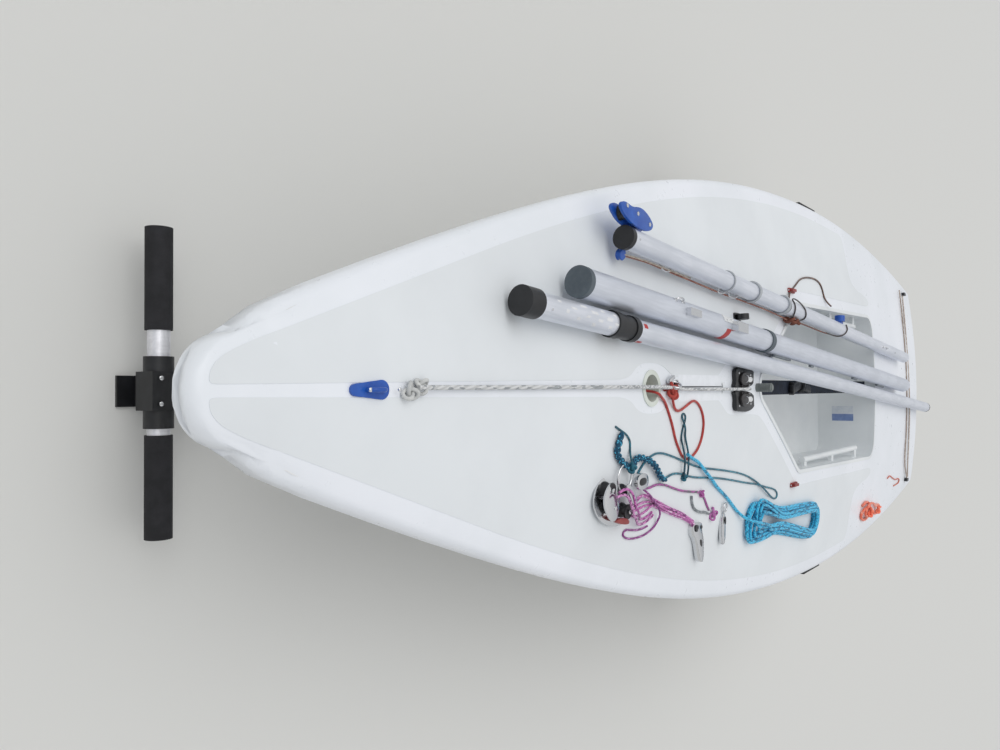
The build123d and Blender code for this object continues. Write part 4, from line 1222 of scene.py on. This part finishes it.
boomLines = {
    "boomRedLine": {"colour": "#8E4A36", "fleck": "#B98066", "diameter": 0.0048, "rows": [
        (0.030, 118, 0.012), (0.12, 116, 0.0055), (0.22, 116, 0.0075), (0.40, 116, 0.0085),
        (0.56, 116, 0.0105), (0.70, 116, 0.0075), (0.90, 116, 0.006), (1.04, 114, 0.0085),
        (1.10, 108, 0.012),
    ]},
    "boomPaleLine": {"colour": "#CFC3B4", "fleck": "#A99A8B", "diameter": 0.0042, "rows": [
        (0.028, 112, 0.009), (0.10, 110, 0.0042), (0.20, 109, 0.0042), (0.28, 110, 0.0042),
        (0.36, 112, 0.0030),
    ]},
    "boomBrownLine": {"colour": "#7B3A28", "fleck": "#A65C44", "diameter": 0.0048, "rows": [
        (1.135, 104, 0.010), (1.20, 110, 0.006), (1.32, 114, 0.0055), (1.44, 115, 0.0065),
        (1.53, 115, 0.0045),
    ]},
    "boomDarkLine": {"colour": "#33251F", "fleck": "#5C463C", "diameter": 0.0045, "rows": [
        (1.52, 114, 0.0036), (1.58, 112, 0.0032), (1.615, 96, 0.0030), (1.628, 70, 0.0030),
        (1.640, 40, 0.0030), (1.648, 8, 0.0030), (1.652, -20, 0.0030), (1.652, -42, 0.0040),
    ]},
    "boomDarkLoop": {"colour": "#3A3434", "fleck": "#6B6464", "diameter": 0.0045, "rows": [
        (1.100, 84, 0.0060), (1.075, 60, 0.0032), (1.060, 30, 0.0030), (1.052, 0, 0.0030),
        (1.050, -30, 0.0030), (1.052, -55, 0.0040), (1.075, -66, 0.0090), (1.110, -60, 0.0080),
        (1.135, -40, 0.0034), (1.150, -12, 0.0030), (1.165, 18, 0.0030), (1.178, 50, 0.0030),
        (1.172, 80, 0.0034), (1.150, 98, 0.0080),
    ]},
    "boomWhiteTail": {"colour": "#DADBDB", "fleck": "#B7B9BA", "diameter": 0.0045, "rows": [
        (1.118, 100, 0.012), (1.122, 110, 0.022), (1.112, 118, 0.034), (1.098, 124, 0.043),
    ]},
}
for name, look in boomLines.items():
    points = [onSpar("boom", *row).translation for row in look["rows"]]
    braidedLine(name, points, {**look, "pitch": 0.009, "round": 3})


def knotPiece(name, place, size, wire, material):
    # an overhand knot's three lobes as one tube
    shape = bmesh.new()
    middles = []
    for t in (2 * math.pi * k / 60 for k in range(60)):
        along = (math.sin(t) + 2 * math.sin(2 * t)) * size / 3
        across = (math.cos(t) - 2 * math.cos(2 * t)) * size / 3
        middles.append(Vector((along, across, -math.sin(3 * t) * wire * 0.62)))
    alongTube(shape, middles, wire / 2, 8, place, True)
    meshPiece(name, shape, material, smooth=60)


rustCord = wornCord("rust", "#6E3F30", "#8A5543")
purpleCord = wornCord("purple", "#A34E94", "#C987BE")
redCord = wornCord("red", "#A83A33", "#C05B50")
whiteCord = wornCord("white", "#D6D7D5", "#B4B6B6")
tealCord = wornCord("teal", "#1B5366", "#3A7F93")
orangeCord = wornCord("orange", "#FA7658", "#FDA488")
knots = (
    # name, place, size, wire and what it is tied in
    ("boomKnotOne", onSpar("boom", 1.105, 100, 0.010), 0.020, 0.0095, rustCord),
    ("boomKnotTwo", onSpar("boom", 1.135, 92, 0.012), 0.017, 0.0090, rustCord),
    ("purpleKnot", deckFrame(0.578, 0.346, 20, 0.0065), 0.018, 0.0062, purpleCord),
    ("thimbleKnot", deckFrame(0.664, 0.280, 70, 0.0055), 0.009, 0.0056, purpleCord),
    ("bowKnotFore", deckFrame(1.752, 0.004, 0, 0.0075), 0.015, 0.0070, whiteCord),
    ("bowKnotAft", deckFrame(1.728, -0.006, 60, 0.0075), 0.013, 0.0070, whiteCord),
    ("redKnot", deckFrame(0.866, 0.004, 30, 0.0120), 0.019, 0.0085, redCord),
    ("redKnotTwo", deckFrame(0.852, 0.012, 80, 0.0085), 0.015, 0.0075, redCord),
    ("tealKnot", deckFrame(0.777, 0.226, 15, 0.0060), 0.010, 0.0058, tealCord),
    ("tealKnotFore", deckFrame(1.072, 0.178, 15, 0.0200), 0.012, 0.0066, tealCord),
    ("orangeKnot", deckFrame(-1.100, 0.555, 15, 0.0280), 0.020, 0.0100, orangeCord),
    ("orangeKnotAft", deckFrame(-1.300, 0.566, 50, 0.0160), 0.018, 0.0090, orangeCord),
)
for knot in knots:
    knotPiece(*knot)


# Deck and cockpit trim. Each screw is x, y, height of its seat over the deck and radius

trimLook = {
    "screws": [
        (1.8372, 0, 0.0122, 0.0036), (1.7794, 0, 0.0122, 0.0036), (0.389, 0.018, 0.0004, 0.003),
        (0.389, -0.010, 0.0004, 0.003), (0.386, 0.048, 0.0004, 0.003), (0.386, -0.040, 0.0004, 0.003),
        (0.884, 0.0, 0.0042, 0.0028), (0.902, 0.0, 0.0042, 0.0028), (-0.048, 0.330, 0.0052, 0.0028),
        (-0.104, 0.330, 0.0052, 0.0028), (-0.048, -0.330, 0.0052, 0.0028), (-0.104, -0.330, 0.0052, 0.0028),
    ],
    "shackle": (0.867, -0.008, 20, 0.020), "shackleTilt": 62, "shackleRadius": 0.013, "shackleWire": 0.0028,
    "shacklePin": (0.868, -0.022, 25, 0.008), "shacklePinSize": (0.030, 0.010, 0.010),
    # x, y, turn and size of each block of the buckle on the hiking strap
    "buckle": [
        (-0.330, -0.002, 8, (0.150, 0.030, 0.016)), (-0.270, 0.004, 70, (0.046, 0.018, 0.020)),
        (-0.400, -0.004, 40, (0.060, 0.016, 0.020)), (-0.470, 0.004, -8, (0.090, 0.026, 0.012)),
    ],
    # low and high y of each label on the cockpit's aft wall, and the height of both
    "labels": [("paleLabel", 0.086, 0.122, paleLabel), ("blueLabel", 0.122, 0.153, blueLabel)],
    "labelHeights": (0.567, 0.657),
    # the two gasket lips over the slot for the daggerboard, and where they bend with the deck
    "lips": [(-0.034, -0.0045), (-0.0015, 0.034)], "lipStations": (0.5455, 0.62, 0.70, 0.78, 0.812),
}
deckScrews = bmesh.new()
for x, y, lift, radius in trimLook["screws"]:
    addScrew(deckScrews, deckFrame(x, y, 0, lift), radius)
meshPiece("deckScrews", deckScrews, stainless)

eyeLoop = bmesh.new()
loopPlace = deckFrame(*trimLook["shackle"]) @ Matrix.Rotation(math.radians(trimLook["shackleTilt"]), 4, "X")
addRing(eyeLoop, loopPlace, trimLook["shackleRadius"], trimLook["shackleWire"])
addBox(eyeLoop, trimLook["shacklePinSize"], deckFrame(*trimLook["shacklePin"]), 0.002)
meshPiece("mastShackle", eyeLoop, stainless)

strapTree = treeOf("hiking_strap")
buckle = bmesh.new()
for x, y, turn, size in trimLook["buckle"]:
    hit = strapTree.ray_cast(Vector((x, y, 2)), Vector((0, 0, -1)))[0]
    if hit:
        place = Matrix.Translation(hit + Vector((0, 0, size[2] / 2 - 0.001)))
        addBox(buckle, size, place @ Matrix.Rotation(math.radians(turn), 4, "Z"), 0.003)
meshPiece("strapBuckle", buckle, blackPlastic)

wall = treeOf("cockpit_liner")
for name, low, high, material in trimLook["labels"]:
    label = bmesh.new()
    for y in (low, high):
        for z in trimLook["labelHeights"]:
            hit = wall.ray_cast(Vector((-0.95, y, z)), Vector((-1, 0, 0)))[0]
            label.verts.new(hit + Vector((0.0009, 0, 0)))
            label.verts.new(hit - Vector((0.001, 0, 0)))
    bmesh.ops.convex_hull(label, input=label.verts)
    meshPiece(name, label, material)

lips = bmesh.new()
for sides in trimLook["lips"]:
    rings = [[lips.verts.new(onDeck(x, y, lift)) for y, lift in
              ((sides[0], -0.001), (sides[0], 0.0011), (sides[1], 0.0011), (sides[1], -0.001))]
             for x in trimLook["lipStations"]]
    joinRings(lips, rings)
meshPiece("slotLips", lips, slotLip)
print("trim made")


# Dolly trim: tread and a valve on each wheel, and the bolts through the clamps

axleBox = [nodes["dolly_axle"].matrix_world @ Vector(corner) for corner in nodes["dolly_axle"].bound_box]
wheelLook = {
    "x": sum(corner.x for corner in axleBox) / 8, "y": 0.762, "z": 0.200, "radius": 0.200, "lugs": 44,
    "lug": (0.018, 0.022, 0.006), "lugSunk": 0.0012,
    # y, share of a pitch that it is turned on and skew in degrees of each row of lugs
    "rows": ((-0.029, 0.0, -18), (0.0, 0.5, 0), (0.029, 0.0, 18)),
    "valve": [(0.0, 0.030), (0.0035, 0.030), (0.004, 0.022), (0.0032, 0.018), (0.0035, 0.0),
              (0.005, -0.002)],
    "valveOut": 0.018, "valveTurn": 22, "valveReach": 0.088, "valveSunk": 0.004,
}


def onWheel(side, out, turn):
    # a frame at the wheel's hub, that far outside its middle, turned about the axle
    hub = Matrix.Translation((wheelLook["x"], side * (wheelLook["y"] + out), wheelLook["z"]))
    return hub @ Matrix.Rotation(turn, 4, "Y")


for bodyName, side in (("left_wheel", 1), ("right_wheel", -1)):
    tread = bmesh.new()
    for lug in range(wheelLook["lugs"]):
        for row, shift, skew in wheelLook["rows"]:
            turned = onWheel(side, 0, 2 * math.pi * (lug + shift) / wheelLook["lugs"])
            moved = Matrix.Translation((0, row, wheelLook["radius"] - wheelLook["lugSunk"]))
            skewed = Matrix.Rotation(math.radians(skew), 4, "Z")
            addBox(tread, wheelLook["lug"], turned @ moved @ skewed, 0.0012, 1)
    meshPiece("tread" + bodyName.title().replace("_", ""), tread, tyreRubber, body=bodyName)
    valve = bmesh.new()
    inwards = (Matrix.Translation((0, 0, wheelLook["valveReach"])) @ Matrix.Rotation(math.pi, 4, "X")
               @ Matrix.Translation((0, 0, -wheelLook["valveSunk"])))
    turned = onWheel(side, wheelLook["valveOut"], math.radians(wheelLook["valveTurn"]))
    addTurned(valve, wheelLook["valve"], turned @ inwards, 12)
    meshPiece("valve" + bodyName.title().replace("_", ""), valve, blackRubber, body=bodyName)

boltLook = {
    "handleFromFore": (0.014, 0.042), "handleBeside": 0.022, "handleSunk": 0.0006, "handleRadius": 0.0042,
    "axleFromMiddle": 0.02, "axleBeside": 0.030, "axleHeight": 0.2332, "axleRadius": 0.005,
}
bolts = bmesh.new()
clampPoints = [v.co for v in nodes["handle_clamp"].data.vertices]
top = max(point.z for point in clampPoints)
fore = max(point.x for point in clampPoints)
for back in boltLook["handleFromFore"]:
    for side in (-1, 1):
        place = (fore - back, side * boltLook["handleBeside"], top - boltLook["handleSunk"])
        addScrew(bolts, Matrix.Translation(place), boltLook["handleRadius"])
for side in (1, -1):
    for way in (-1, 1):
        x = wheelLook["x"] + way * boltLook["axleFromMiddle"]
        place = Matrix.Translation((x, side * boltLook["axleBeside"], boltLook["axleHeight"]))
        addScrew(bolts, place, boltLook["axleRadius"])
meshPiece("dollyBolts", bolts, stainless)
print("dolly trim made")


# Floor, light and world

floorShape = bmesh.new()
bmesh.ops.create_grid(floorShape, x_segments=1, y_segments=1, size=150)
floorMaterial = newMaterial("pale studio floor", {"Base Color": "#D9D9D6", "Roughness": 0.95})[0]
floorMesh = bpy.data.meshes.new("floor")
floorShape.to_mesh(floorMesh)
floorShape.free()
floorMesh.materials.append(floorMaterial)
placed("floor", floorMesh)

lightLook = {
    "skyTop": "#FFFFFF", "skyLow": "#C6CBD1", "skyTopAt": 0.75, "skyStrength": 0.78, "sunStrength": 0.75,
    "sunAngle": 50, "sunTilt": (28, 22, 0),
}
world = bpy.data.worlds.new("soft daylight")
bpy.context.scene.world = world
world.use_nodes = True
skyCoords = addNode(world, "ShaderNodeTexCoord")
skyHeight = addNode(world, "ShaderNodeSeparateXYZ", {}, {"Vector": skyCoords.outputs["Generated"]})
skyStops = [(0.0, lightLook["skyLow"]), (lightLook["skyTopAt"], lightLook["skyTop"])]
skyTint = addNode(world, "ShaderNodeValToRGB", {"stops": skyStops}, {"Fac": skyHeight.outputs["Z"]})
background = world.node_tree.nodes["Background"]
world.node_tree.links.new(skyTint.outputs["Color"], background.inputs["Color"])
background.inputs["Strength"].default_value = lightLook["skyStrength"]
sun = placed("sun", bpy.data.lights.new("sun", "SUN"))
sun.data.energy = lightLook["sunStrength"]
sun.data.angle = math.radians(lightLook["sunAngle"])
sun.rotation_euler = [math.radians(turn) for turn in lightLook["sunTilt"]]

bpy.context.view_layer.update()
